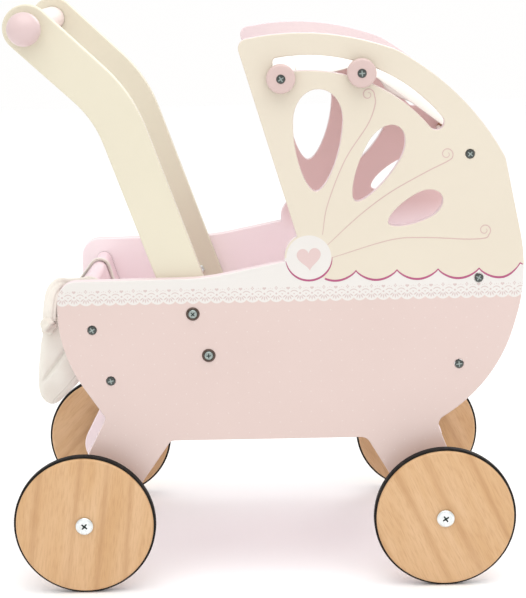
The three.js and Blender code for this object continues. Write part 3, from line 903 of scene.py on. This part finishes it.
def add_cap_nut(node, side, material):
    """A hexagon nut with a domed cap, on the inside of a handle arm."""
    box = Box(node)
    x, z = box.middle.x, box.middle.z
    seat, tip = box.outer, box.inner
    r = min(box.size.x, box.size.z) / 2
    hex_high = (seat - tip) * 0.5
    points, faces = [], []
    rings = ((seat, r * 0.94), (seat - 0.5, r), (seat - hex_high + 0.5, r), (seat - hex_high, r * 0.9))
    for y, radius in rings:
        for k in range(6):
            angle = math.pi / 3 * k
            points.append((x + radius * math.cos(angle), side * y, z + radius * math.sin(angle)))
    for a in range(3):
        for k in range(6):
            n = (k + 1) % 6
            faces.append([6 * a + k, 6 * a + n, 6 * a + 6 + n, 6 * a + 6 + k])
    faces += [list(range(6)), list(range(18, 24))]
    nut = from_points(f"{node}_hex", points, faces, material, 20)
    settle(nut, "root", "dark_steel", node)
    dome = [(0, seat - hex_high + 0.2), (r * 0.8, seat - hex_high + 0.2)]
    dome_high = seat - hex_high - tip
    for i in range(8):
        t = i / 7 * math.pi / 2
        dome.append((r * 0.8 * math.cos(t), seat - hex_high - dome_high * math.sin(t)))
    dome[-1] = (0, tip)
    cap = turned(f"{node}_cap", dome, box.middle, material, side, 32)
    settle(cap, "root", "dark_steel")


# ---- wheels and axles

def wheel_wood(name, turn, seed):
    """Lacquered light wood: soft broad bands, short fine fibres and a few faint growth lines."""
    shader = Shader(name, WOOD_LIGHT, 0.45)
    shift = (seed * 0.37, seed * 0.11, seed * 0.23)
    # After the turn, X runs across the grain and Z along it.
    grain = shader.stretched((1.0, 1.0, 0.14), (0, turn, 0), shift)
    fibres = shader.stretched((1.0, 1.0, 0.09), (0, turn, 0), shift)
    broad = shader.noise(30.0, 2.0, 0.4, grain, 0.5)
    bands = shader.noise(85.0, 3.0, 0.5, grain, 0.4)
    lines = shader.wave(9.0, 6.0, 2.0, grain)
    fine = shader.noise(900.0, 3.0, 0.6, fibres)
    colour = shader.mix((broad * 0.6 + bands * 0.4).over(0.5, 0.22), WOOD_LIGHT, WOOD_DARK)
    colour = shader.mix(lines.power(10.0) * broad * 0.8, colour, WOOD_LINE)
    colour = shader.mix(fine.over(0.58, 0.25) * 0.38, colour, WOOD_LINE)
    shader.set("Base Color", colour)
    shader.set("Roughness", fine * 0.2 + 0.36)
    shader.bump(fine * 0.6 + bands * 0.4, 0.05)
    return shader.material


def rubber():
    shader = Shader("tyre_rubber", TYRE_BLACK, 0.6)
    dust = shader.noise(90.0, 4.0, 0.6)
    shader.set("Base Color", shader.mix(dust.over(0.62, 0.3) * 0.3, TYRE_BLACK, srgb(78, 70, 64)))
    shader.set("Roughness", dust * 0.25 + 0.5)
    shader.set("Specular IOR Level", 0.2)
    shader.bump(shader.noise(1300.0, 3.0), 0.05)
    return shader.material


DISC_BORE_R = 5.2
SPACER_BORE_R = 5.3
HUB_SHANK_R = 3.9
HUB_HEAD_THICK = 2.4
# how far each wheel's wood grain leans from upright, in radians
GRAIN_TURNS = {"right_rear": 0.13, "right_front": -0.44, "left_rear": 0.75, "left_front": -0.5}


def add_wheels(zinc, shadow):
    tyre_material = rubber()
    axle_steel = metal("axle_steel", AXLE_STEEL, 0.3)
    for number, (key, turn) in enumerate(GRAIN_TURNS.items()):
        side_name, end = key.split("_")
        side = -1 if side_name == "right" else 1
        body = f"{key}_wheel"
        disc = Box(f"{key}_wheel_disc")
        centre = disc.middle
        inner, outer, r = disc.inner, disc.outer, disc.size.x / 2
        wood = wheel_wood(f"wheel_wood_{key}", turn, number + 1)
        profile = ring_profile(DISC_BORE_R, r, inner, outer, 0.4, 2.6, 5)
        piece = turned(f"{key}_wheel_board", profile, centre, wood, side, 128, ring=True)
        settle(piece, body, "plywood", f"{key}_wheel_disc")

        tyre = Box(f"{key}_tyre")
        t_in, t_out, t_r = tyre.inner, tyre.outer, tyre.size.x / 2
        third = (t_out - t_in) / 3
        groove, dip = 0.35, 0.45
        tread = [(r + 0.05, t_in, 0), (t_r, t_in, 0.9)]
        for k in (1, 2):
            y = t_in + k * third
            tread += [(t_r, y - groove, 0.1), (t_r - dip, y, 0.1), (t_r, y + groove, 0.1)]
        tread += [(t_r, t_out, 0.9), (r + 0.05, t_out, 0)]
        band = turned(f"{key}_tyre_band", rounded(tread, 3), centre, tyre_material, side, 128,
                      ring=True)
        settle(band, body, "tyre_rubber", f"{key}_tyre")

        node = f"{key}_hub_bolt"
        hub = Box(node)
        top, low, head_r = hub.outer, hub.inner, hub.size.x / 2
        under = top - HUB_HEAD_THICK
        profile = rounded([(0, low, 0), (HUB_SHANK_R, low, 0.4), (HUB_SHANK_R, under, 0),
                           (head_r, under, 0.4), (head_r, top - 0.9, 0.7), (head_r - 1.5, top, 0.8),
                           (0, top, 0)])
        bolt = turned(f"{key}_hub_screw", profile, centre, zinc, side, 56)
        bolt = with_cross(bolt, centre, top, side, 3.5, 0.9, 1.8, RANDOM.uniform(0, 1.5), shadow)
        settle(bolt, "root", "zinc", node)

        node = f"{key}_axle_spacer"
        spacer = Box(node)
        profile = ring_profile(SPACER_BORE_R, spacer.size.x / 2, spacer.inner, spacer.outer, 0.3, 1.0)
        sleeve = turned(f"{key}_spacer_sleeve", profile, centre, wood, side, 48, ring=True)
        settle(sleeve, "root", "plywood", node)
    for end in ENDS:
        axle = Box(f"{end}_axle")
        rod = rod_piece(f"{end}_axle_rod", axle, axle.high.y, 0.6, axle_steel)
        settle(rod, "root", "zinc", f"{end}_axle")


# ---- hood rods

def dowel_wood():
    shader = Shader("bare_dowel", DOWEL_LIGHT, 0.6)
    fibres = shader.stretched((1.0, 0.03, 1.0))
    fine = shader.noise(900.0, 4.0, 0.6, fibres)
    broad = shader.noise(120.0, 2.0, 0.5, fibres)
    colour = shader.mix(broad.over(0.5, 0.3), DOWEL_LIGHT, DOWEL_DARK)
    shader.set("Base Color", shader.mix(fine.over(0.6, 0.2) * 0.4, colour, DOWEL_DARK))
    shader.set("Roughness", fine * 0.2 + 0.5)
    shader.bump(fine, 0.06)
    return shader.material


def add_rods():
    wood = dowel_wood()
    knob_paint = paint("knob_pink", KNOB_PINK)
    bodies = {"front": "front_rod", "middle": "middle_rod", "rear": "root"}
    for label, body in bodies.items():
        node = f"canopy_{label}_rod"
        rod = Box(node)
        piece = rod_piece(f"{label}_dowel", rod, rod.high.y, 0.5, wood)
        settle(piece, body, "bare_dowel", node)
        if label == "rear":
            continue
        for side_name, side in SIDES:
            node = f"{side_name}_{label}_rod_knob"
            knob = Box(node)
            r = knob.size.x / 2
            low, top = knob.inner, knob.outer
            profile = rounded([(3.0, low, 0.2), (r, low, 1.2), (r, top, 2.4), (4.45, top, 0.2),
                               (2.2, top - 2.6, 0.1), (2.2, low, 0.1)], 5)
            disc = turned(f"{side_name}_{label}_knob_disc", profile, knob.middle, knob_paint, side,
                          64, ring=True)
            settle(disc, body, "knob_pink", node)


# ---- cloth

def cotton(name, threads=1.05, warm=0.35, hem=None, tone=1.0):
    """Plain-woven cotton. The cloth's UVs are metres along its two thread directions. hem is the
    distance of a row of stitches from the first edge and the cloth's width, in millimetres."""
    shader = Shader(name, COTTON_WHITE, 0.9)
    u, v = shader.split(shader.uv)[:2]
    across = (u * (math.pi / threads)).sin()
    along = (v * (math.pi / threads)).sin()
    weave = (across * along).abs()
    slub = shader.noise(140.0, 3.0, 0.6, shader.stretched((1.0, 0.06, 1.0), vector=shader.uv))
    cloud = shader.noise(16.0, 3.0, 0.5)
    white, shade = dimmed(COTTON_WHITE, tone), dimmed(COTTON_WARM, tone)
    colour = shader.mix(cloud.over(0.52, 0.5) * warm, white, shade)
    colour = shader.mix(weave.under(0.25, 0.5) * 0.16, colour, srgb(196, 186, 166))
    relief = weave * 0.6 + slub * 0.4
    if hem is not None:
        inset, width = hem
        row = (u - inset).abs().low((u - (width - inset)).abs()).under(0.4, 0.3)
        stitches = row * v.near(3.0).abs().under(1.05, 0.3)
        colour = shader.mix(stitches * 0.3, colour, srgb(176, 166, 150))
        relief = relief - row * 0.8
    shader.set("Base Color", colour)
    shader.bump(relief, 0.14)
    shader.set("Sheen Weight", 0.2)
    shader.set("Sheen Roughness", 0.5)
    shader.set("Specular IOR Level", 0.25)
    return shader.material


def cloth_sheet(name, rows, material, thickness=0.7):
    """A closed thin cloth through rows of points. Its UVs are lengths along and across it."""
    count, width = len(rows), len(rows[0])
    grid = np.array([[tuple(p) for p in row] for row in rows], float)
    along = np.linalg.norm(np.diff(grid, axis=0), axis=2).mean(axis=1)
    across = np.linalg.norm(np.diff(grid, axis=1), axis=2).mean(axis=0)
    v = np.concatenate([[0], np.cumsum(along)]) * MM
    u = np.concatenate([[0], np.cumsum(across)]) * MM
    mesh = bpy.data.meshes.new(name)
    points = [tuple(grid[i, j] * MM) for i in range(count) for j in range(width)]
    faces = [(i * width + j, i * width + j + 1, (i + 1) * width + j + 1, (i + 1) * width + j)
             for i in range(count - 1) for j in range(width - 1)]
    mesh.from_pydata(points, [], faces)
    layer = mesh.uv_layers.new(name="cloth")
    for loop in mesh.loops:
        i, j = divmod(loop.vertex_index, width)
        layer.data[loop.index].uv = (u[j], v[i])
    for polygon in mesh.polygons:
        polygon.use_smooth = True
    obj = link(name, mesh, material)
    solid = obj.modifiers.new("thickness", "SOLIDIFY")
    solid.thickness = thickness * MM
    solid.offset = 0
    solid.use_even_offset = True
    bpy.context.view_layer.update()
    return applied(obj), (float(u[-1]), float(v[-1]))


def ripple(x, y, z, scale, size):
    """A smooth random push of up to about `size` at a point given in millimetres."""
    return noise.noise(Vector((x, y, z)) * scale) * size


FRONT_ROD = Box("canopy_front_rod").middle
MIDDLE_ROD = Box("canopy_middle_rod").middle
REAR_ROD = Box("canopy_rear_rod").middle
ROD_R = Box("canopy_middle_rod").size.x / 2
CLOTH_HALF = 114.0
CLOTH_GAP = 0.9  # cloth's middle line above the wood it lies on
EDGE_FLAP = 6.0  # loose hem that hangs from the near edge behind the middle rod
FRONT_SAG = 6.4
REAR_EDGE_SAG = 3.6
REAR_CROWN = 8.5


def around_rod(centre, radius, start, end, count):
    """Points on an arc round a rod, from angle start to angle end, in degrees."""
    angles = [math.radians(start + (end - start) * i / count) for i in range(count + 1)]
    return [centre + Vector((math.cos(a), 0, math.sin(a))) * radius for a in angles]


def straight(start, end, count):
    return [start.lerp(end, i / count) for i in range(1, count)]


def ease(t):
    """0 to 1 with level ends, held outside them."""
    t = min(max(t, 0.0), 1.0)
    return t * t * (3 - 2 * t)


def front_fall(t, y):
    """How far the cloth hangs under the line between the front and middle rods."""
    near = 0.75 * ease((-60 - y) / 54)
    far = 0.08 * ease((y - 60) / 54)
    return FRONT_SAG * (0.25 + near + far) * math.sin(math.pi * t ** 1.15)


def rear_fall(t, y):
    """The same between the middle and rear rods; below 0 where the cloth crowns."""
    edge = min(t / 0.08, 1.0) * REAR_EDGE_SAG * (1 - t)
    inland = ease((CLOTH_HALF - abs(y)) / 25)
    return edge * (1 - inland) - REAR_CROWN * math.sin(math.pi * t) * inland


def canopy_rows(path, span, fall, crosswise=64):
    """Rows of cloth points across the hood, for each point of its side profile. span is the x
    from which and to which the cloth hangs free, and fall how far at each place."""
    low, high = span
    rows = []
    for p in path:
        t = (p.x - low) / (high - low)
        free = 0 < t < 1 and p.z > REAR_ROD.z
        row = []
        for j in range(crosswise + 1):
            y = CLOTH_HALF * (-1 + 2 * j / crosswise)
            drop = fall(t, y) if free else 0
            crease = ripple(p.x, y * 0.6, 3.0, 0.03, 1.2) * math.sin(math.pi * t) if free else 0
            row.append(Vector((p.x, y, p.z - drop + crease)))
        rows.append(row)
    return rows


def with_edge_flap(rows):
    """Adds the bit of hem that has come down at the near edge behind the middle rod."""
    start, tip = MIDDLE_ROD.x + 18, MIDDLE_ROD.x + 47
    out = []
    for row in rows:
        edge = row[0]
        t = (edge.x - start) / (tip - start)
        hang = EDGE_FLAP * ease(t / 0.25) * min(1, (1 - t) / 0.6) if 0 < t < 1 else 0
        below = edge - Vector((0, 0.2, hang + 0.3))
        out.append([below, (below + edge) / 2, *row])
    return out


def add_canopy(material):
    """The hood's cloth: sewn round the front and rear rods, and lying over the middle one."""
    r = ROD_R + CLOTH_GAP
    front_top = FRONT_ROD + Vector((0, 0, r))
    mid_top = MIDDLE_ROD + Vector((0, 0, r))
    slope = math.atan2(REAR_ROD.z - MIDDLE_ROD.z, REAR_ROD.x - MIDDLE_ROD.x)
    lift = Vector((-math.sin(slope), 0, math.cos(slope))) * r
    lean = math.degrees(slope)
    # the seam stays ahead of the middle rod even at the front end of its travel
    seam_x = FRONT_ROD.x + 14
    top_line = [front_top, *straight(front_top, mid_top, 36), mid_top]
    split = min(range(len(top_line)), key=lambda i: abs(top_line[i].x - seam_x))
    first = around_rod(FRONT_ROD, r, -30, -268, 20) + top_line[:split + 1]
    rear_from, rear_to = MIDDLE_ROD + lift, REAR_ROD + lift
    last = around_rod(MIDDLE_ROD, r, 90, 90 + lean, 6) + straight(rear_from, rear_to, 44)
    last += around_rod(REAR_ROD, r, 90 + lean, lean - 160, 18)

    front_span = (FRONT_ROD.x, MIDDLE_ROD.x)
    rear_span = (rear_from.x, rear_to.x)
    pieces = (
        ("canopy_cloth_front", canopy_rows(first, front_span, front_fall), ("front_rod", "root"),
         (front_top + Vector((3, 0, 0)), Vector((seam_x - 1, 0, mid_top.z))), ("front_dowel",)),
        ("canopy_cloth_middle", canopy_rows(top_line[split:], front_span, front_fall),
         ("root", "middle_rod"), (Vector((seam_x + 1, 0, mid_top.z)), mid_top - Vector((8, 0, 0))),
         ("middle_dowel",)),
        ("canopy_cloth_rear", with_edge_flap(canopy_rows(last, rear_span, rear_fall)),
         ("middle_rod", "root"), (MIDDLE_ROD + Vector((8, 0, 0)), REAR_ROD + Vector((-14, 0, 10))),
         ("middle_dowel", "rear_dowel")),
    )
    for name, rows, bodies, (start, end), rests in pieces:
        sheet, flat = cloth_sheet(name, rows, material)
        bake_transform(sheet)
        if name == "canopy_cloth_front":
            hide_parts("canopy_cloth")


# ---- storage bag

BAG_TOP = 262.0
# The bag's side profile: height, back x and front x, from its rim to its bottom seam.
BAG_PROFILE = (
    (262.0, -215.0, -186.0), (250.0, -219.5, -180.5), (240.0, -221.5, -176.0),
    (225.0, -224.5, -171.0), (212.0, -227.0, -174.5), (200.0, -228.5, -181.0),
    (190.0, -229.0, -188.5), (182.0, -228.5, -195.5), (175.0, -226.0, -202.5),
    (171.0, -221.5, -208.0), (169.5, -217.0, -212.5),
)
BAG_HALF = 92.0
BAG_FOOT_HALF = 80.0
STRAP_Y = 62.0
LOBE_X = -200.0  # middle of the soft lobe at the bag's near end
LOBE_Z = 202.0
FOLD_Z = 223.0  # height of the fold beside the lobe, at LOBE_X
FOLD_ACROSS = (0.796, -0.605)  # the direction across that fold, as x and z
# each tape's way from the board's top to its knot
NEAR_TAIL = [(-195.0, -66.0, 288.5), (-203.5, -73.0, 289.0), (-209.0, -82.0, 283.0),
             (-211.0, -89.0, 273.0), (-212.0, -93.0, 262.6), (-212.0, -94.0, 256.5)]
FAR_TAIL = [(-186.5, 60.5, 281.5), (-193.5, 61.0, 272.5), (-199.0, 61.5, 265.5),
            (-202.5, 62.0, 259.5)]
# middle and size of each knot
KNOTS = {"right": ((-213.5, -95.0, 253.0), 8.5), "left": ((-205.5, 63.0, 257.0), 5.2)}


def bag_section(t):
    """Middle x, half depth, half width and height of the bag at t, from rim 0 to bottom 1."""
    stations = [Vector(p) for p in BAG_PROFILE]
    place = catmull(stations, 100)
    at = t * (len(place) - 1)
    i = min(int(at), len(place) - 2)
    z, back, front = place[i].lerp(place[i + 1], at - i)
    half = BAG_HALF + (BAG_FOOT_HALF - BAG_HALF) * ease((BAG_TOP - z - 30) / 60)
    return (front + back) / 2, (front - back) / 2, half, z


def bag_rows():
    """Closed loops of points round the bag, from its rim down."""
    levels, around = 64, 260
    rows = []
    for i in range(levels + 1):
        t = i / levels
        centre, depth, width, level = bag_section(t)
        body = math.sin(math.pi * min(1, t * 0.95)) ** 0.7
        row = []
        for x, y, facing in pill(centre, depth, width, around):
            near_strap = min(abs(abs(y) - STRAP_Y) / 30, 1)
            z = level - 3.4 * near_strap * (1 - t) ** 2
            # a lobe at the near end, with the fold that runs down and back across it
            end = ease((-y - 60) / 26)
            lobe = math.exp(-((x - LOBE_X) ** 2 + (z - LOBE_Z) ** 2) / 190)
            fold = (x - LOBE_X) * FOLD_ACROSS[0] + (z - FOLD_Z) * FOLD_ACROSS[1]
            crease = math.exp(-(fold / 1.8) ** 2) * ease((234 - z) / 10) * ease((z - 190) / 10)
            y -= end * (4.5 * lobe - 3.6 * crease)
            gather = math.exp(-t * 4) * 1.1 * math.sin(y * 0.5 + 2 * math.sin(y * 0.06))
            drape = 1.3 * math.sin(y * 0.07 + z * 0.06 + 1.2 * math.sin(y * 0.03)) * body
            soft = ripple(x, y * 0.7, z * 0.6, 0.045, 3.0) * body
            fine = ripple(x, y, z, 0.12, 0.9) * body
            push = gather + drape + soft + fine
            row.append(Vector((x + facing * push * 0.6 - facing * 0.4, y, z)))
        rows.append(row + row[:1])
    return rows


def pill(centre, depth, width, count):
    """Evenly spaced points (x, y, how far they face along X) round a rectangle of half sizes
    depth and width with well rounded corners."""
    r = max(min(depth * 0.8, 9.0), 0.3)
    sides = ((1, -1), (1, 1), (-1, 1), (-1, -1))
    path = []
    for k, (sx, sy) in enumerate(sides):
        for m in range(13):
            a = math.radians(-90 + 90 * k + 90 * m / 12)
            path.append(Vector((centre + sx * (max(depth - r, 0)) + r * math.cos(a),
                                sy * (width - r) + r * math.sin(a), math.cos(a))))
    path.append(path[0].copy())
    lengths = [0.0]
    for a, b in zip(path, path[1:]):
        lengths.append(lengths[-1] + (b.xy - a.xy).length)
    out, k = [], 0
    for i in range(count):
        at = lengths[-1] * i / count
        while lengths[k + 1] < at:
            k += 1
        span = max(lengths[k + 1] - lengths[k], 1e-9)
        p = path[k].lerp(path[k + 1], (at - lengths[k]) / span)
        out.append((p.x, p.y, p.z))
    return out


def folded_rows(path, width_at, depth_at, turn_at, pleats, count=64, around=40):
    """Closed loops of points along a strip of cloth that is folded into a soft tape. Its section
    is flattened and creased lengthwise, which is why it takes a strip wider than it looks."""
    line = catmull([Vector(p) for p in path], count)
    rows = []
    for i, p in enumerate(line):
        t = i / (len(line) - 1)
        along = (line[min(i + 1, len(line) - 1)] - line[max(i - 1, 0)]).normalized()
        side = Vector((0, 1, 0))
        side = (side - along * side.dot(along)).normalized()
        side = Matrix.Rotation(turn_at(t), 3, along) @ side
        up = along.cross(side)
        width, depth = width_at(t) / 2, depth_at(t) / 2
        row = []
        for k in range(around + 1):
            a = 2 * math.pi * k / around
            crease = 1 - 0.2 * (0.5 + 0.5 * math.cos(pleats * a + 2.2 * t)) ** 3
            wave = 1 + 0.05 * noise.noise(Vector((math.cos(a), math.sin(a), 7 * t)) * 1.3)
            row.append(p + side * (math.cos(a) * width * crease * wave)
                       + up * (math.sin(a) * depth * crease * wave))
        rows.append(row)
    return rows


def catmull(points, count):
    """A smooth line through the points."""
    ends = [points[0] * 2 - points[1]] + points + [points[-1] * 2 - points[-2]]
    out = []
    per = max(2, count // (len(points) - 1))
    for i in range(1, len(ends) - 2):
        p0, p1, p2, p3 = ends[i - 1:i + 3]
        for k in range(per):
            t = k / per
            out.append(0.5 * (2 * p1 + (p2 - p0) * t + (2 * p0 - 5 * p1 + 4 * p2 - p3) * t * t
                              + (3 * p1 - p0 - 3 * p2 + p3) * t ** 3))
    out.append(points[-1])
    return out


def bag_hem(rim, material):
    """A soft roll of cloth along the points of the bag's open edge."""
    ring, half_thick, sink = 8, 1.15, 1.6
    points, faces = [], []
    count = len(rim)
    for i, p in enumerate(rim):
        along = (rim[(i + 1) % count] - rim[i - 1]).normalized()
        side = along.cross(Vector((0, 0, 1))).normalized()
        up = side.cross(along)
        half_high = 2.6 + 0.25 * math.sin(i * 1.9)
        for k in range(ring):
            a = 2 * math.pi * k / ring
            q = p + side * (half_thick * math.cos(a)) + up * (half_high * math.sin(a) - sink)
            points.append(tuple(q))
            n, m = (i + 1) % count, (k + 1) % ring
            faces.append([i * ring + k, n * ring + k, n * ring + m, i * ring + m])
    return from_points("bag_hem", points, faces, material, 80)


def over_crest(y, clear, tail):
    """A tape's path: up the inside of the rear board, over its rounded top, then the tail."""
    x, z = BOARD_CREST.x, BOARD_CREST.z
    reach = BOARD_CREST_R + clear
    points = [(x + reach + 9.6, y, z - 30.0), (x + reach + 3.2, y, z - 10.0)]
    for degrees in (15, 50, 90, 125):
        a = math.radians(degrees)
        points.append((x + reach * math.cos(a), y, z + reach * math.sin(a)))
    return points + tail


def add_strap(side_name, path, width_at, depth_at, turn_at, pleats, material):
    """A tape that is tied to the rear board at one end and to the bag at the other."""
    folds = folded_rows(path, width_at, depth_at, turn_at, pleats)
    sheet, flat = cloth_sheet(f"bag_strap_{side_name}", folds, material, 0.5)
    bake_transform(sheet)


def add_bag(material):
    rows = bag_rows()
    sack, flat = cloth_sheet("bag_sack", rows, material, 0.9)
    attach(sack, "bag")
    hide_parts("storage_bag")
    hem = bag_hem([p + Vector((0, 0, 0.4)) for p in rows[0][:-1]], material)
    settle(hem, "bag", "cotton")

    add_strap("right", over_crest(-STRAP_Y, 4.2, NEAR_TAIL), lambda t: 8.0,
              lambda t: 5.0 + 8.5 * ease((t - 0.35) / 0.3), lambda t: 0.4 * ease((t - 0.5) / 0.5),
              5, material)
    add_strap("left", over_crest(STRAP_Y - 2, 2.1, FAR_TAIL), lambda t: 6.5, lambda t: 3.0,
              lambda t: 0.2 * math.sin(3 * t), 4, material)

    for side_name, (centre, size) in KNOTS.items():
        knot = knot_mesh(f"bag_knot_{side_name}", Vector(centre), size, material)
        settle(knot, "bag", "cotton")


def knot_mesh(name, centre, size, material):
    """A small tied knot: a lumpy ball of overlapping turns."""
    points, faces = [], []
    rings, around = 22, 32
    for i in range(rings + 1):
        theta = math.pi * i / rings
        for j in range(around):
            phi = 2 * math.pi * j / around
            d = Vector((math.sin(theta) * math.cos(phi), math.sin(theta) * math.sin(phi), math.cos(theta)))
            turn = 0.16 * math.sin(3 * phi + 4 * theta) + 0.1 * math.sin(5 * theta - 2 * phi)
            lump = 1 + turn * math.sin(theta) + noise.noise(d * 2.1 + centre * 0.1) * 0.22
            points.append(tuple(centre + Vector((d.x * 0.85, d.y * 1.15, d.z)) * size * lump))
    for i in range(rings):
        for j in range(around):
            n = (j + 1) % around
            faces.append([i * around + j, i * around + n, (i + 1) * around + n, (i + 1) * around + j])
    return from_points(name, points, faces, material, 80)


# ---- studio

def add_stage():
    size = 5.0  # half the floor's side, in metres
    mesh = bpy.data.meshes.new("floor")
    mesh.from_pydata([(-size, -size, 0), (size, -size, 0), (size, size, 0), (-size, size, 0)],
                     [], [(0, 1, 2, 3)])
    shader = Shader("studio_floor", srgb(253, 253, 253), 0.9)
    cloud = shader.noise(0.8, 2.0)
    shader.set("Base Color", shader.mix(cloud * 0.1, srgb(253, 253, 253), srgb(250, 250, 250)))
    floor = link("studio_floor", mesh, shader.material)


def add_light(name, place, aim, size, watts):
    light = bpy.data.lights.new(name, "AREA")
    light.shape = "DISK"
    light.size = size
    light.energy = watts
    obj = bpy.data.objects.new(name, light)
    bpy.context.scene.collection.objects.link(obj)
    obj.location = place
    obj.rotation_mode = "QUATERNION"
    obj.rotation_quaternion = (Vector(place) - Vector(aim)).to_track_quat("Z", "Y")


def add_studio():
    world = bpy.data.worlds.new("studio")
    bpy.context.scene.world = world
    world.use_nodes = True
    background = next(n for n in world.node_tree.nodes if n.type == "BACKGROUND")
    background.inputs["Color"].default_value = (1.0, 0.995, 0.99, 1)
    background.inputs["Strength"].default_value = 1.0
    add_light("key", (-1.3, -2.0, 2.4), aim=(0, 0, 0.25), size=1.6, watts=1)
    add_light("top", (0.2, -0.7, 2.6), aim=(0, 0, 0.2), size=3.2, watts=40)
    add_light("back", (0.8, 1.9, 1.5), aim=(0, 0, 0.3), size=1.2, watts=9)
    view = bpy.context.scene.view_settings
    view.view_transform = "Standard"
    view.look = "None"
    view.exposure = 0.0
    view.gamma = 1.0


CAMERA_PLACE = (-0.00215, -1.77332, 0.61779)
CAMERA_LENS = 105.35
CAMERA_PITCH = math.radians(-11.556)
CAMERA_ROLL = math.radians(-1.231)


def add_camera():
    camera = bpy.data.cameras.new("camera")
    camera.lens = CAMERA_LENS
    camera.sensor_width = 36
    camera.clip_end = 50
    obj = bpy.data.objects.new("camera", camera)
    bpy.context.scene.collection.objects.link(obj)
    level = Matrix.Rotation(math.pi / 2 + CAMERA_PITCH, 4, "X")
    roll = Matrix.Rotation(CAMERA_ROLL, 4, "Z")
    obj.matrix_world = Matrix.Translation(CAMERA_PLACE) @ level @ roll
    bpy.context.scene.camera = obj


# ---- the pram

add_camera()
add_studio()
add_stage()
add_panels()
add_tub()
add_handle()
zinc_plate, recess_shadow = add_fasteners()
add_wheels(zinc_plate, recess_shadow)
add_rods()
hood_cotton = cotton("hood_cotton", 0.9, 0.2, (6.0, 2 * CLOTH_HALF))
bag_cotton = cotton("bag_cotton", 1.1, 0.7, tone=0.88)
add_canopy(hood_cotton)
add_bag(bag_cotton)
